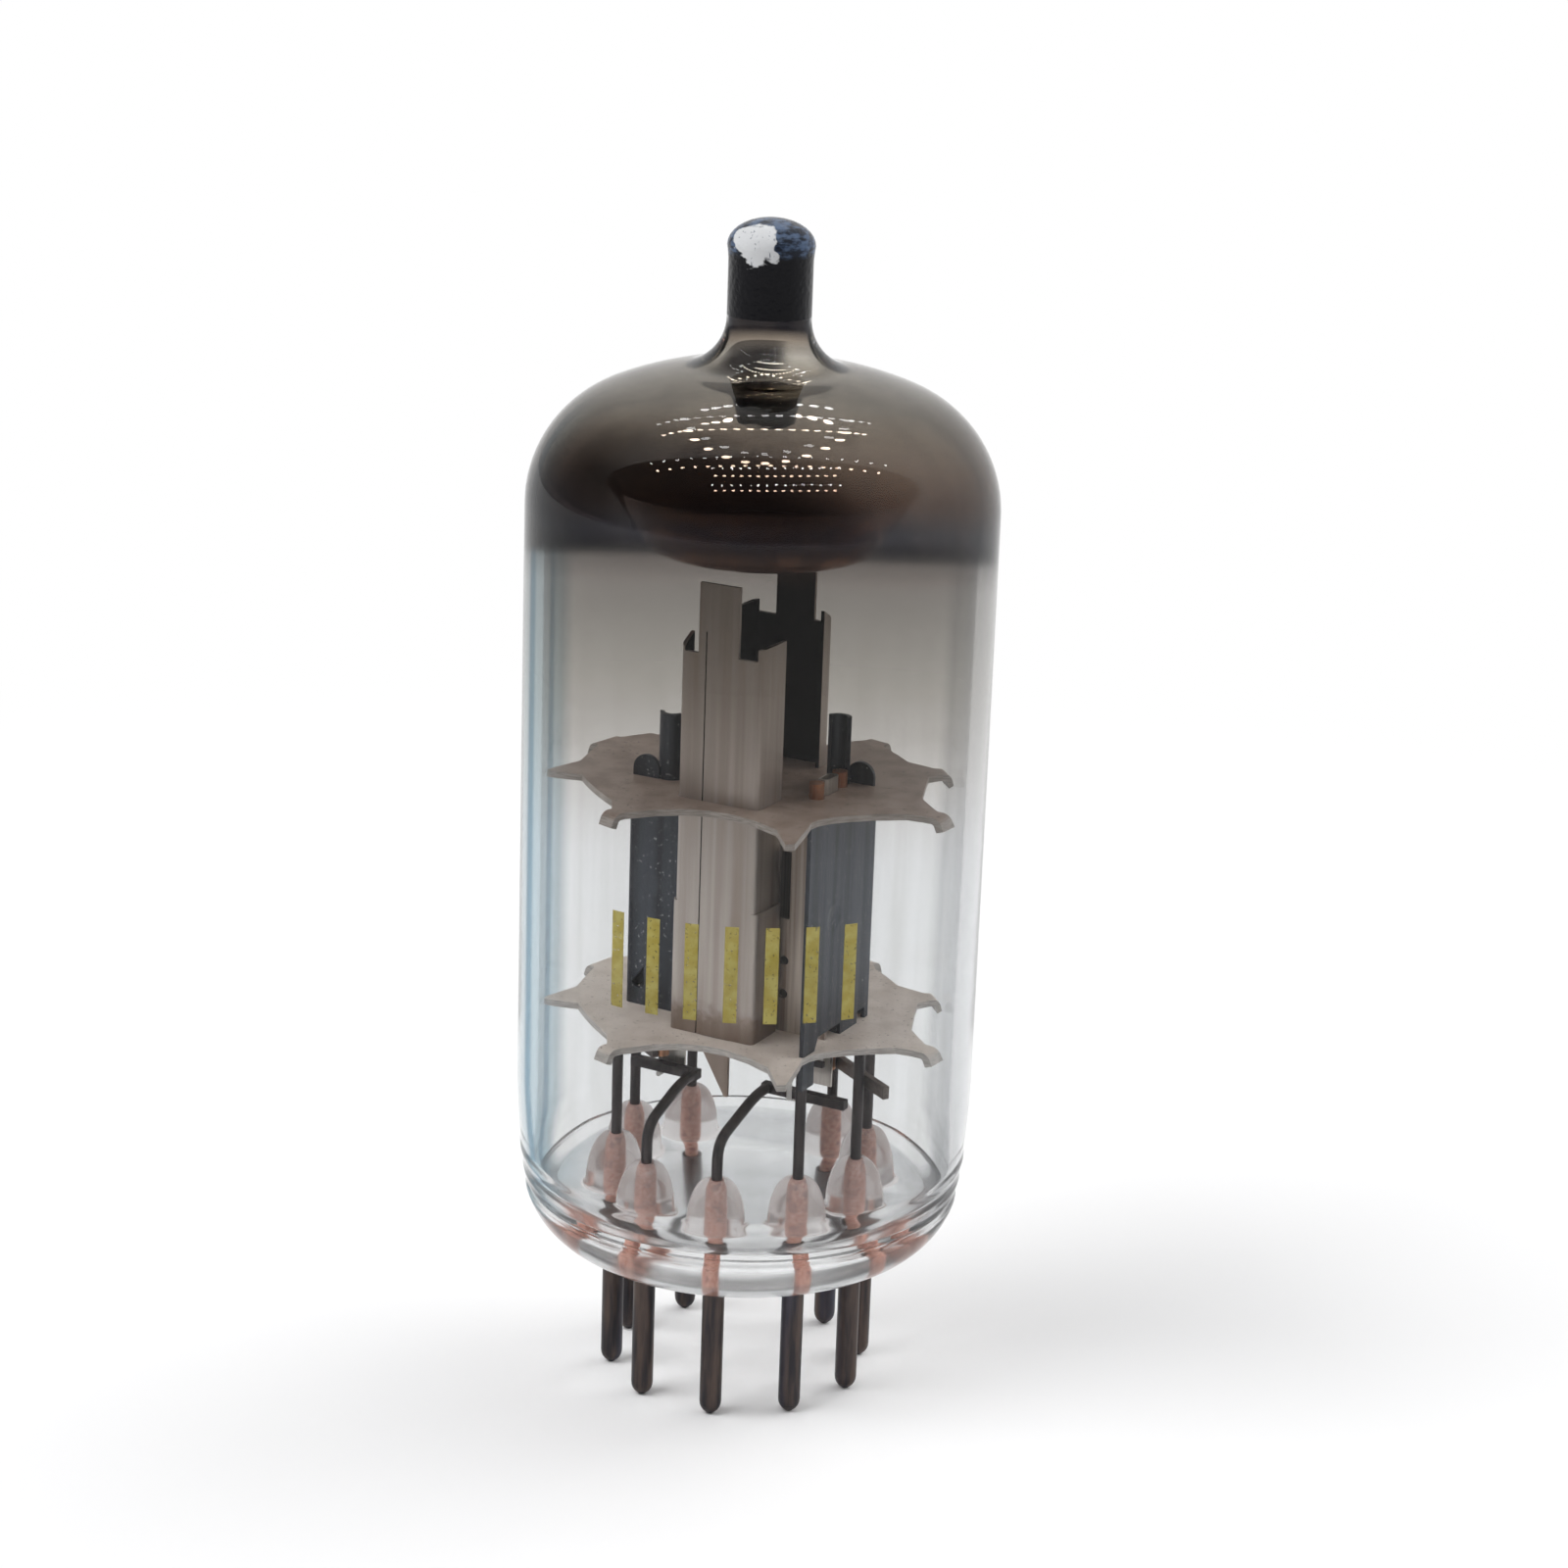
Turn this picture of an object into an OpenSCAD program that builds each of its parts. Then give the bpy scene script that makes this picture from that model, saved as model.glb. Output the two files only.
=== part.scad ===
// Miniature twin triode tube on nine pins, millimetres, standing on its pin tips.
// +Z is the tube's axis and +X points at pin 7. The two systems are half-turn copies of each other.

/* [Glass] */
// Outside diameter of the glass bulb
bulb_d = 21.2; // [20.6:0.1:22.2]
// Wall of the bulb
glass_wall = 0.9; // [0.7:0.05:1.1]
// Wall of the exhaust stub
stub_wall = 0.55; // [0.4:0.05:0.8]
// Height of the straight side's upper end above the pin tips
shoulder_z = 41.6; // [40:0.1:44]
// Radius of the shoulder
shoulder_r = 5.8; // [5:0.1:6.5]
// Angle that the shoulder turns through before the crown
shoulder_turn = 68; // [60:1:72]
// Radius of the shallow crown
crown_r = 16; // [13:0.5:20]
// Diameter of the sealed exhaust stub
stub_d = 3.74; // [3.2:0.02:4.4]
// Radius of the flare from the crown into the stub
flare_r = 2.2; // [1.6:0.1:2.6]
// Length of the stub from the flare to its tip
stub_len = 4.33; // [3.5:0.01:5]
// Height of the stub's melted tip
tip_h = 1.7; // [1.2:0.1:2.4]
// Height of the straight neck under the melted tip's round
tip_neck = 0.5; // [0.2:0.05:0.8]
// How far the melted tip bulges past the stub
tip_bulge = 0.07; // [0:0.01:0.15]
// How far the foot draws in from the bulb's side down to the seal
foot_draw = 0.47; // [0.35:0.01:0.6]
// Height over the seal at which the foot starts to draw in
foot_h = 5.9; // [4:0.1:8]
// Thickness of the pressed glass button
button_h = 2.8; // [2.2:0.1:3.4]
// Radius of the rounded edge under the button
button_edge_r = 3.5; // [3.2:0.1:3.7]
// Width of the glass fillet that seals the bulb to the button
seal_fillet = 1.1; // [0.6:0.1:1.5]
// Depth of the groove round the seal
seam_groove = 0.15; // [0.05:0.01:0.25]
// Half height of the groove round the seal
groove_half = 0.25; // [0.15:0.01:0.3]
// Height of the raised band's lower edge over the seal
band_rise = 1.4; // [1:0.1:2]
// Height of the raised band
band_h = 0.7; // [0.4:0.1:1]
// How far the raised band stands out of the foot
band_proud = 0.05; // [0.03:0.01:0.08]

/* [Pins and leads] */
// Diameter of the circle through the pins
pin_circle_d = 11.89; // [11.8:0.01:12]
// Diameter of a pin
pin_d = 1.016; // [0.96:0.001:1.07]
// Length of a pin under the glass
pin_len = 6.6; // [6:0.1:7.6]
// Height of a pin's rounded point
pin_point_h = 0.6; // [0.4:0.05:0.9]
// Diameter of the copper-coated wire sealed in the glass
seal_wire_d = 0.66; // [0.5:0.01:0.8]
// Diameter of the glass bead round each wire
bead_d = 2.66; // [2.2:0.02:2.9]
// Height of a bead over the button
bead_h = 2.35; // [1.8:0.05:2.8]
// Ring of glass that grips the wire at a bead's top
bead_lip = 0.08; // [0.04:0.01:0.12]
// Diameter of an inner lead
lead_d = 0.5; // [0.4:0.01:0.6]
// Length of an inner lead over its bead
lead_len = 5.3; // [4.8:0.1:6]
// Height at which the two heater leads turn inwards, over their beads
heater_lead_rise = 1.75; // [1:0.05:2]
// Reach of the rounding at a heater lead's bends
lead_bend = 0.85; // [0.6:0.05:0.9]
// Straight end of a heater lead past its last bend
lead_rest = 0.1; // [0.05:0.01:0.2]

/* [Mica] */
// Thickness of a mica spacer
mica_t = 0.3; // [0.2:0.05:0.4]
// Gap from the lead tops up to the lower spacer
mica_lift = 0.5; // [0.3:0.05:1]
// Clearance between the tips of a spacer and the glass
mica_gap = 0.03; // [0.01:0.01:0.1]
// Inner radius of the bend at the end of a spacer's blunt tabs
lip_bend = 0.15; // [0.1:0.01:0.25]
// Straight end of a bent tab
lip_len = 0.3; // [0.15:0.05:0.4]
// Clearance round a sheet or a rod that passes through a spacer
slot_gap = 0.04; // [0.02:0.01:0.06]

/* [Anodes] */
// Height of an anode, which is the gap between the spacers
anode_h = 10.78; // [9:0.02:13]
// Thickness of the anode sheet
anode_t = 0.2; // [0.15:0.01:0.22]
// Depth of the flat on a lead where the anode is welded to it
weld_flat = 0.06; // [0.03:0.01:0.1]
// Distance of the closed side's face from the middle plane
anode_y = 2.4; // [2.35:0.05:2.6]
// Length of the closed side along the sheet
anode_side = 2.75; // [2.3:0.05:2.8]
// Reach of the cooling wing from the middle plane
wing_y = 4.2; // [4.1:0.05:4.4]
// Inner edge of the wing's tab, from the middle plane
wing_foot_y = 3.1; // [2.9:0.05:3.3]
// Length of the wing's tab that is welded to its lead
weld_len = 0.85; // [0.6:0.05:1.1]
// Height of the arches in the anode's lower edge
arch_h = 0.55; // [0.3:0.05:0.8]
// Run of the arch's slanted end
arch_slant = 0.3; // [0.1:0.05:0.4]
// Radius of the half-round foot that lies on the spacer
foot_pad_r = 0.85; // [0.7:0.05:0.95]
// Distance of the foot's middle behind the middle plane
foot_pad_y = 0.2; // [0:0.05:0.3]
// Radius of the dimple pressed into the anode
dimple_r = 0.65; // [0.4:0.05:0.8]
// Depth of the dimple
dimple_deep = 0.08; // [0.05:0.01:0.1]
// Height of the dimple over the lower spacer
dimple_h = 5.9; // [4:0.1:7]
// Distance of the closed side's dimple from the axis
side_dimple_x = 3.8; // [3.5:0.05:4]
// Distance of the wing's dimple from the middle plane
wing_dimple_y = 1.7; // [1.2:0.05:2]
// Distance of the teardrop hole's point from the axis
drop_x = 4.2; // [4:0.05:4.3]
// Height of the teardrop hole over the lower spacer
drop_rise = 0.8; // [0.6:0.05:1]
// Height of the teardrop hole
drop_h = 1.1; // [0.8:0.05:1.3]
// Thickness of the inner anode plate
plate_t = 0.15; // [0.1:0.01:0.18]
// Distance of the inner plate's open side from the middle plane
plate_y = 1.75; // [1.7:0.01:1.85]
// Distance of the inner plate's outer face from the axis
plate_x = 2.2; // [2.1:0.05:2.3]
// Lap of the inner plate on the anode's closed side
plate_lap = 0.8; // [0.6:0.05:0.9]
// Distance of the inner plate's slot from its edge
plate_slot_in = 0.3; // [0.2:0.05:0.4]
// Width of the slot in the inner plate
plate_slot_w = 0.5; // [0.3:0.05:0.6]
// Height of the slot in the inner plate
plate_slot_h = 3.2; // [2:0.1:4]
// Height of the slot's lower end over the lower spacer
plate_slot_rise = 5.4; // [5:0.1:6]
// Diameter of the two round holes in the inner plate
plate_hole_d = 0.44; // [0.3:0.02:0.5]
// Distance of the round holes from the plate's edge
plate_hole_in = 0.6; // [0.4:0.05:0.7]
// Height of the lower round hole over the lower spacer
plate_hole_rise = 1.8; // [1.4:0.1:2.2]
// Step from the lower round hole to the upper one
plate_hole_step = 1.6; // [1.2:0.1:2]
// Height of the rolled post over the upper spacer
post_h = 3.1; // [2.4:0.1:3.6]
// Radius of the rolled post
post_r = 0.59; // [0.5:0.01:0.6]
// Distance of the rolled post from the axis
post_x = 3.3; // [3.2:0.05:3.4]
// Radius of the lug beside the post
lug_r = 0.68; // [0.5:0.01:0.7]
// Height of the lug's straight sides over the upper spacer
lug_rise = 0.34; // [0.2:0.02:0.5]
// Distance of the lug from the axis
lug_x = 4.3; // [4.2:0.02:4.34]

/* [Screens] */
// Thickness of the screen sheet
screen_t = 0.18; // [0.14:0.01:0.2]
// Distance of the screen's face from the middle plane
screen_y = 4.2; // [4.1:0.05:4.4]
// Width of the screen face
screen_w = 4.1; // [3.8:0.05:4.3]
// Sideways shift of the screen from the axis
screen_shift = 0.45; // [0.35:0.05:0.5]
// Depth of the long flange
flange_long = 2.2; // [1.8:0.05:2.25]
// Depth of the short flange
flange_short = 0.9; // [0.6:0.05:1.2]
// Height of the long flange's top over the screen's face
flange_over = 0.55; // [0.3:0.05:0.6]
// Height of the short flange's slanted top over the screen's face, at the face
slant_low = 0.2; // [0.1:0.05:0.3]
// Height of the short flange's slanted top over the screen's face, at its free edge
slant_high = 0.7; // [0.6:0.05:0.9]
// Width of the screen's raised corners
corner_w = 0.22; // [0.2:0.01:0.3]
// How far the wider foot of the screen stands out at each side
step_out = 0.12; // [0.08:0.01:0.16]
// Height of the screen's wider foot over the lower spacer
step_h = 6.2; // [5:0.1:8]
// Distance of the crease in the face from its narrow side
crease_in = 1.3; // [1:0.05:1.6]
// Depth of the crease
crease_deep = 0.06; // [0.03:0.01:0.08]
// Width of the spike under the screen
spike_w = 1.4; // [1:0.05:1.6]
// Reach of the spike below the top of the lower spacer
spike_h = 2.75; // [2.2:0.05:3]
// Slant of the spike's blunt point
spike_slant = 0.15; // [0.1:0.05:0.4]
// Height of the screen over the lower spacer
screen_h = 17.83; // [16:0.01:19]
// Width of the tongue on the screen
tongue_w = 2; // [1.4:0.1:2.2]
// Distance of the tongue's middle from the axis
tongue_x = 0.3; // [0.1:0.05:0.5]
// Height of the rear tongue, which carries the getter dish
dish_tongue_h = 21.78; // [20.5:0.01:22.2]
// Gap between the front tongue and the getter dish
tongue_gap = 0.75; // [0.4:0.05:1.2]

/* [Grids, cathodes and heaters] */
// Offset of a cathode from the middle plane
system_y = 0.25; // [0.2:0.01:0.3]
// Distance of a grid post from its cathode
grid_reach = 1.14; // [1.12:0.01:1.2]
// Diameter of a grid post
grid_post_d = 0.7; // [0.64:0.01:0.74]
// Diameter of the grid wire
grid_wire_d = 0.1; // [0.08:0.01:0.12]
// Bare length of a grid post at each spacer
grid_margin = 0.7; // [0.5:0.05:1]
// Clearance over and under the grid wire in its notch
notch_gap = 0.02; // [0.01:0.01:0.03]
// Rise of the grid wire in one turn
grid_pitch = 0.62; // [0.5:0.01:0.8]
// Long side of the cathode sleeve
cathode_w = 1.2; // [1.1:0.02:1.24]
// Short side of the cathode sleeve
cathode_d = 0.5; // [0.46:0.01:0.54]
// Wall of the cathode sleeve
cathode_t = 0.07; // [0.05:0.01:0.08]
// Corner of the cathode sleeve
cathode_corner = 0.12; // [0.1:0.01:0.14]
// Height and reach of the collar that rests on the lower spacer
collar = 0.1; // [0.08:0.01:0.14]
// How far a cathode stands out past each spacer
cathode_out = 0.7; // [0.6:0.05:1]
// Diameter of the coated heater wire
heater_d = 0.24; // [0.2:0.01:0.3]
// Distance of a heater leg from the middle of its cathode
heater_leg = 0.3; // [0.26:0.01:0.32]
// Depth of the heater's top inside its cathode
heater_in = 0.4; // [0.3:0.05:0.6]
// Straight length of the heater under its cathode
heater_free = 0.35; // [0.2:0.05:0.4]
// Distance of the right heater's weld from its cathode, towards the axis
heater_weld_in = 0.55; // [0.4:0.05:0.7]
// Straight length of the right heater over its bar
heater_weld_rise = 0.3; // [0.2:0.05:0.4]
// Height of the heater link over the bars
link_rise = 1.1; // [1:0.05:1.2]
// Reach of the heater link past each cathode's middle
link_over = 0.3; // [0.2:0.05:0.5]
// Side of the square heater bars
bar_t = 0.44; // [0.36:0.01:0.5]
// Height of the heater bars over the beads
bar_rise = 2.9; // [2.7:0.05:3.1]
// Distance of the left heater bar in front of the middle plane
bar_left_y = 1.5; // [1.4:0.05:1.7]
// Distance of the right heater bar in front of the middle plane
bar_right_y = 1.05; // [0.9:0.05:1.3]
// Reach of the left heater bar from the axis
bar_left_end = 5.2; // [4.4:0.1:5.3]
// Reach of the right heater bar from the axis
bar_right_end = 5.85; // [5:0.05:6]
// Thickness of the thin cathode ribbon
ribbon_t = 0.12; // [0.08:0.01:0.14]
// Width of the cathode ribbon's body
ribbon_w = 1.44; // [1.2:0.02:1.6]
// Reach of the ribbon past the cathode's middle, towards the axis
ribbon_out = 1; // [0.8:0.05:1.05]
// Lap of the ribbon on the cathode's lower end
ribbon_lap = 0.35; // [0.2:0.05:0.5]
// Reach of the ribbon below the middle of the heater bars
ribbon_drop = 0.15; // [0:0.05:0.3]
// Height of the ribbon's arm
ribbon_arm_h = 0.5; // [0.3:0.05:0.6]
// Gap between the grid strap and the ribbon's arm over it
ribbon_gap = 0.3; // [0.2:0.05:0.4]
// Thickness of the grid strap
strap_t = 0.3; // [0.24:0.01:0.34]
// Height of the grid strap's section
strap_h = 0.6; // [0.4:0.05:0.7]
// Height of the grid strap over the middle of the heater bars
strap_rise = 0.55; // [0.4:0.05:0.7]
// Length of the grid strap past its post
strap_start = 0.3; // [0.2:0.05:0.35]
// Length of the left grid strap past its lead
strap_left_tail = 0.35; // [0.2:0.05:0.8]
// Length of the right grid strap past its lead
strap_right_tail = 1.75; // [0.5:0.05:2]

/* [Getter] */
// Radius of the getter dish's flat floor
dish_floor_r = 4.7; // [4.5:0.1:5]
// Radius of the getter dish's rim
dish_rim_r = 7; // [6:0.1:7.5]
// Height of the getter dish
dish_h = 3.05; // [2.4:0.05:3.4]
// Thickness of the getter dish
dish_t = 0.2; // [0.15:0.01:0.3]
// Reach of the rounding between the dish's floor and its wall
dish_bend = 0.5; // [0.3:0.05:0.7]
// Radius of the getter channel ring
ring_r = 3.2; // [2.6:0.1:3.8]
// Width of the getter channel
ring_w = 1; // [0.7:0.05:1.3]
// Height of the getter channel
ring_h = 0.8; // [0.5:0.05:1]
// Thickness of the getter channel
ring_t = 0.15; // [0.1:0.01:0.2]
// Thickness of the metal film on the glass
film_t = 0.04; // [0.03:0.01:0.08]
// Height of the film's edge on the axis over the getter dish's floor
film_rise = -0.1; // [-0.6:0.1:0.6]
// Slope of the film's edge
film_slope = 12.8; // [5:0.1:16]
// Direction of the film's lower edge, turned from the front towards +X
film_turn = 28; // [0:1:45]

/* [Hidden] */
$fn = 64;
// Overlap that lets a cut run past the face it opens
cut = 1;
bulb_r = bulb_d / 2;
inner_r = bulb_r - glass_wall;
stub_r = stub_d / 2;
pin_pitch = 36;
pin_circle_r = pin_circle_d / 2;
seal_wire_r = seal_wire_d / 2;
lead_r = lead_d / 2;
seam_r = bulb_r - foot_draw;
seam_z = pin_len + button_h;
bead_top = seam_z + bead_h;
lead_top = bead_top + lead_len;
mica_low_z = lead_top + mica_lift;
floor_z = mica_low_z + mica_t;
mica_high_z = floor_z + anode_h;
deck_z = mica_high_z + mica_t;
dish_z = floor_z + dish_tongue_h;
// Inner edge of the glass fillet where it meets the button
seal_inner_r = inner_r - seal_fillet;
// The anode's outer face is where its inner face lies against the flat on its lead
anode_x = pin_circle_r * cos(pin_pitch) + lead_r - weld_flat + anode_t;
// A cathode stands midway between the two faces of its anode
system_x = (plate_x + plate_t + anode_x - anode_t) / 2;

// Plan position of a numbered pin
function pin_at(k) = pin_circle_r * [cos((k - 7) * pin_pitch), sin((k - 7) * pin_pitch)];
function unit(v) = v / norm(v);
function left_of(v) = [-v[1], v[0]];
function reversed(list) = [for (i = [len(list) - 1 : -1 : 0]) list[i]];
// Points of an arc round c from angle a to angle b
function arc(c, r, a, b, n) = [for (i = [0 : n])
    let (t = a + (b - a) * i / n) c + r * [cos(t), sin(t)]];
// The same arc without its first point, to follow another
function arc_on(c, r, a, b, n) = [for (i = [1 : n])
    let (t = a + (b - a) * i / n) c + r * [cos(t), sin(t)]];
// Bisector offset of a path's corner, so that a sheet keeps its thickness round it
function corner_shift(u, v, d) = d * (left_of(u) + left_of(v)) / (1 + u * v);
// Points at a distance d to the left of a path
function beside(path, d) = [for (i = [0 : len(path) - 1])
    let (u = i == 0 ? unit(path[1] - path[0]) : unit(path[i] - path[i - 1]))
    let (v = i == len(path) - 1 ? u : unit(path[i + 1] - path[i]))
    path[i] + corner_shift(u, v, d)];
// A path with each of its corners rounded
function rounded(path, r, n = 4) = [for (i = [0 : len(path) - 1])
    if (i == 0 || i == len(path) - 1) path[i]
    else
        let (u = unit(path[i - 1] - path[i]), v = unit(path[i + 1] - path[i]))
        each [for (k = [0 : n])
            let (s = k / n, p = path[i] + r * u, q = path[i] + r * v)
            (1 - s) * (1 - s) * p + 2 * s * (1 - s) * path[i] + s * s * q]];
// Outline of a bent sheet seen from its edge
function sheet_outline(path, t, r) =
    let (p = rounded(path, r))
    concat(beside(p, t / 2), reversed(beside(p, -t / 2)));
function cross_unit(a, b) = unit(cross(a, b));
function path_dir(path, i) = unit(path[min(i + 1, len(path) - 1)] - path[max(i - 1, 0)]);
// Carries a side vector along a path without twist
function carried(path, side, i = 0) =
    let (d = path_dir(path, i), s = unit(side - (side * d) * d))
    i == len(path) - 1 ? [s] : concat([s], carried(path, s, i + 1));

// Round wire along a three-dimensional path, with flat ends and an edge along its side vector
module wire(path, d, side, faces = 12) {
    sides = carried(path, side);
    count = len(path);
    points = [for (i = [0 : count - 1])
        let (dir = path_dir(path, i), a = sides[i], b = cross_unit(dir, a))
        for (k = [0 : faces - 1])
            let (turn = 360 * k / faces)
            path[i] + d / 2 * (cos(turn) * a + sin(turn) * b)];
    walls = [for (i = [0 : count - 2]) for (k = [0 : faces - 1])
        let (near = i * faces, far = (i + 1) * faces, next = (k + 1) % faces)
        [near + k, far + k, far + next, near + next]];
    first = [for (k = [0 : faces - 1]) k];
    last = [for (k = [faces - 1 : -1 : 0]) (count - 1) * faces + k];
    polyhedron(points, concat([first], walls, [last]));
}

// Bent sheet standing on edge from height z
module bent_sheet(path, t, r, z, h) {
    translate([0, 0, z]) linear_extrude(height = h) polygon(sheet_outline(path, t, r));
}

module half_turn() {
    rotate([0, 0, 180]) children();
}

// Glass envelope
crown_start = [bulb_r - shoulder_r, shoulder_z] + shoulder_r * [cos(shoulder_turn), sin(shoulder_turn)];
crown_c = crown_start - crown_r * [cos(shoulder_turn), sin(shoulder_turn)];
// The flare touches the crown from outside, so their centres lie the sum of their radii apart
crown_end = acos((stub_r + flare_r - crown_c[0]) / (crown_r + flare_r));
flare_c = crown_c + (crown_r + flare_r) * [cos(crown_end), sin(crown_end)];
tip_z = flare_c[1] + stub_len;
foot_arc_r = (pow(foot_h, 2) + pow(foot_draw, 2)) / (2 * foot_draw);
band_low_z = seam_z + band_rise;
button_edge_end = asin((button_edge_r - button_h + groove_half) / button_edge_r);
button_flat_r = seam_r - button_edge_r * cos(button_edge_end);
// Height of the bulb's lowest straight edge over its seal
foot_start = asin((foot_h - groove_half) / foot_arc_r);

// Outer radius of the foot at height z
function foot_x(z) = bulb_r - foot_arc_r + sqrt(pow(foot_arc_r, 2) - pow(seam_z + foot_h - z, 2));
// Side view of the dome, from the shoulder to the stub, drawn in by the bulb's wall and the stub's
function dome_side(wall, bore_wall) =
    let (reach = crown_r - wall + flare_r + bore_wall)
    let (meet = acos((flare_c[0] - crown_c[0]) / reach))
    let (c = crown_c + reach * [cos(meet), sin(meet)])
    concat(
        arc([bulb_r - shoulder_r, shoulder_z], shoulder_r - wall, 0, shoulder_turn, 12),
        arc_on(crown_c, crown_r - wall, shoulder_turn, meet, 6),
        arc_on(c, flare_r + bore_wall, 180 + meet, 180, 8));
// Closed end of the stub's bore
function bore_side(wall) = arc([0, tip_z - tip_h - stub_r + stub_wall], stub_r - wall, 0, 90, 6);

module bulb_shell() {
    tip = [for (a = [0 : 9 : 90])
        [(stub_r + tip_bulge) * cos(a), tip_z - (tip_h - tip_neck) * (1 - sin(a))]];
    fillet = [for (a = [0 : 15 : 90])
        [seal_inner_r + seal_fillet * cos(a), seam_z + 2 * seal_fillet * (1 - sin(a))]];
    outside = concat(
        [[seam_r - seam_groove, seam_z]],
        arc([bulb_r - foot_arc_r, seam_z + foot_h], foot_arc_r, -foot_start, 0, 8),
        dome_side(0, 0),
        [[stub_r, tip_z - tip_h]],
        tip);
    inside = concat(
        reversed(bore_side(stub_wall)),
        reversed(dome_side(glass_wall, stub_wall)),
        fillet);
    band = [
        [foot_x(band_low_z) - band_proud, band_low_z],
        [foot_x(band_low_z), band_low_z],
        [foot_x(band_low_z) + band_proud, band_low_z + 2 * band_proud],
        [foot_x(band_low_z + band_h) + band_proud, band_low_z + band_h - 2 * band_proud],
        [foot_x(band_low_z + band_h), band_low_z + band_h],
        [foot_x(band_low_z + band_h) - band_proud, band_low_z + band_h]];
    rotate_extrude() {
        polygon(concat(outside, inside));
        polygon(band);
    }
}

module button() {
    side = concat(
        [[0, pin_len]],
        arc([button_flat_r, pin_len + button_edge_r], button_edge_r, 270, 360 - button_edge_end, 8),
        [[seam_r - seam_groove, seam_z], [0, seam_z]]);
    rotate_extrude() polygon(side);
}

module bead() {
    top_r = seal_wire_r + bead_lip;
    side = [for (a = [0 : 11.25 : 90]) [top_r + (bead_d / 2 - top_r) * cos(a), bead_h * sin(a)]];
    rotate_extrude() polygon(concat([[0, 0]], side, [[0, bead_h]]));
}

module stem() {
    difference() {
        union() {
            button();
            for (k = [1 : 9]) translate([pin_at(k)[0], pin_at(k)[1], seam_z]) bead();
        }
        for (k = [1 : 9])
            translate([pin_at(k)[0], pin_at(k)[1], 0])
                cylinder(h = bead_top + cut, r = seal_wire_r);
    }
}

// Pins and wires
module pin(k) {
    pin_r = pin_d / 2;
    point = [for (a = [30 : 15 : 90]) [pin_r * sin(a), pin_point_h * (1 - cos(a))]];
    translate([pin_at(k)[0], pin_at(k)[1], 0])
        rotate_extrude()
            polygon(concat([[0, 0], [pin_r / 3, 0]], point, [[pin_r, pin_len], [0, pin_len]]));
}

module seal_wire(k) {
    translate([pin_at(k)[0], pin_at(k)[1], pin_len]) cylinder(h = bead_top - pin_len, r = seal_wire_r);
}

module straight_lead(k) {
    translate([pin_at(k)[0], pin_at(k)[1], bead_top]) cylinder(h = lead_len, r = lead_r);
}

// Lead that turns inwards over its bead and ends against the front of a heater bar
bar_z = bead_top + bar_rise;
module bent_lead(k, bar_y) {
    p = pin_at(k);
    end_y = -bar_y - bar_t / 2;
    path = rounded([
        [p[0], p[1], bead_top],
        [p[0], p[1], bead_top + heater_lead_rise],
        [p[0], end_y - lead_bend - lead_rest, bar_z],
        [p[0], end_y, bar_z]], lead_bend, 6);
    wire(path, lead_d, [1, 0, 0]);
}

// Mica spacers
mica_tip_r = inner_r - mica_gap;
// Points round a spacer. Each has the azimuth of its tip, from the front towards +X, the tip's depth inside
// the glass and half width, and the azimuth and depth of its root on each side
mica_points = [
    [-64, 0, 0.12, -76, 1.3, -60.5, 1.85],
    [-18.5, 0.95, 0.42, -29.5, 2.35, -15, 1.9],
    [38, 0, 0.2, 36.3, 2.1, 47.5, 2.3],
    [88.8, 0, 0.5, 84.5, 1.6, 102.5, 1.85],
    [132.5, 0, 0.5, 127.5, 1.5, 145, 1.6],
    [168, 0, 0.5, 161, 1.2, 175, 1.7],
    [218, 0, 0.2, 216.3, 2.1, 227.5, 2.3],
    [260, 0, 0.85, 244, 1, 266.5, 0.85]];
// Deepest place between each point and the next: azimuth and depth inside the glass
mica_hollows = [
    [-45.5, 2.3], [8, 4.3], [61, 3.25], [115, 1.9],
    [154, 1.4], [195, 4], [237, 2.2], [275, 1.15]];
// Half width from which a point is a blunt tab with its end bent down
blunt = 0.4;
// Angle of the bend at the end of a tab
lip_turn = 70;
lip_reach = (lip_bend + mica_t) * sin(lip_turn) + lip_len * cos(lip_turn);
// The flat sheet runs this far into the start of a bent end, and is narrower there at each side
lip_lap = mica_t;
lip_side = 0.05;
function polar(az, r) = r * [sin(az), -cos(az)];
function curve(p, q, mid, n) = let (c = 2 * mid - (p + q) / 2)
    [for (i = [0 : n]) let (s = i / n) (1 - s) * (1 - s) * p + 2 * s * (1 - s) * c + s * s * q];
// Distance of a point's flat end from the axis, so that its corners keep their clearance
function tip_x(m) = sqrt(pow(mica_tip_r - m[1], 2) - pow(m[2], 2));
function tip_corner(m, side) =
    let (x = tip_x(m) - (m[2] < blunt ? 0 : lip_reach + lip_lap / 2))
    let (half = m[2] - (m[2] < blunt ? 0 : lip_side))
    polar(m[0] + side * atan2(half, x), norm([x, half]));
function mica_outline() = [for (i = [0 : len(mica_points) - 1])
    let (m = mica_points[i], hollow = mica_hollows[i])
    let (n = i == len(mica_points) - 1 ? mica_points[0] + [360, 0, 0, 360, 0, 0, 0] : mica_points[i + 1])
    each concat(
        [tip_corner(m, -1), tip_corner(m, 1)],
        curve(polar(m[5], inner_r - m[6]), polar(n[3], inner_r - n[4]),
            polar(hollow[0], inner_r - hollow[1]), 6))];

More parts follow.
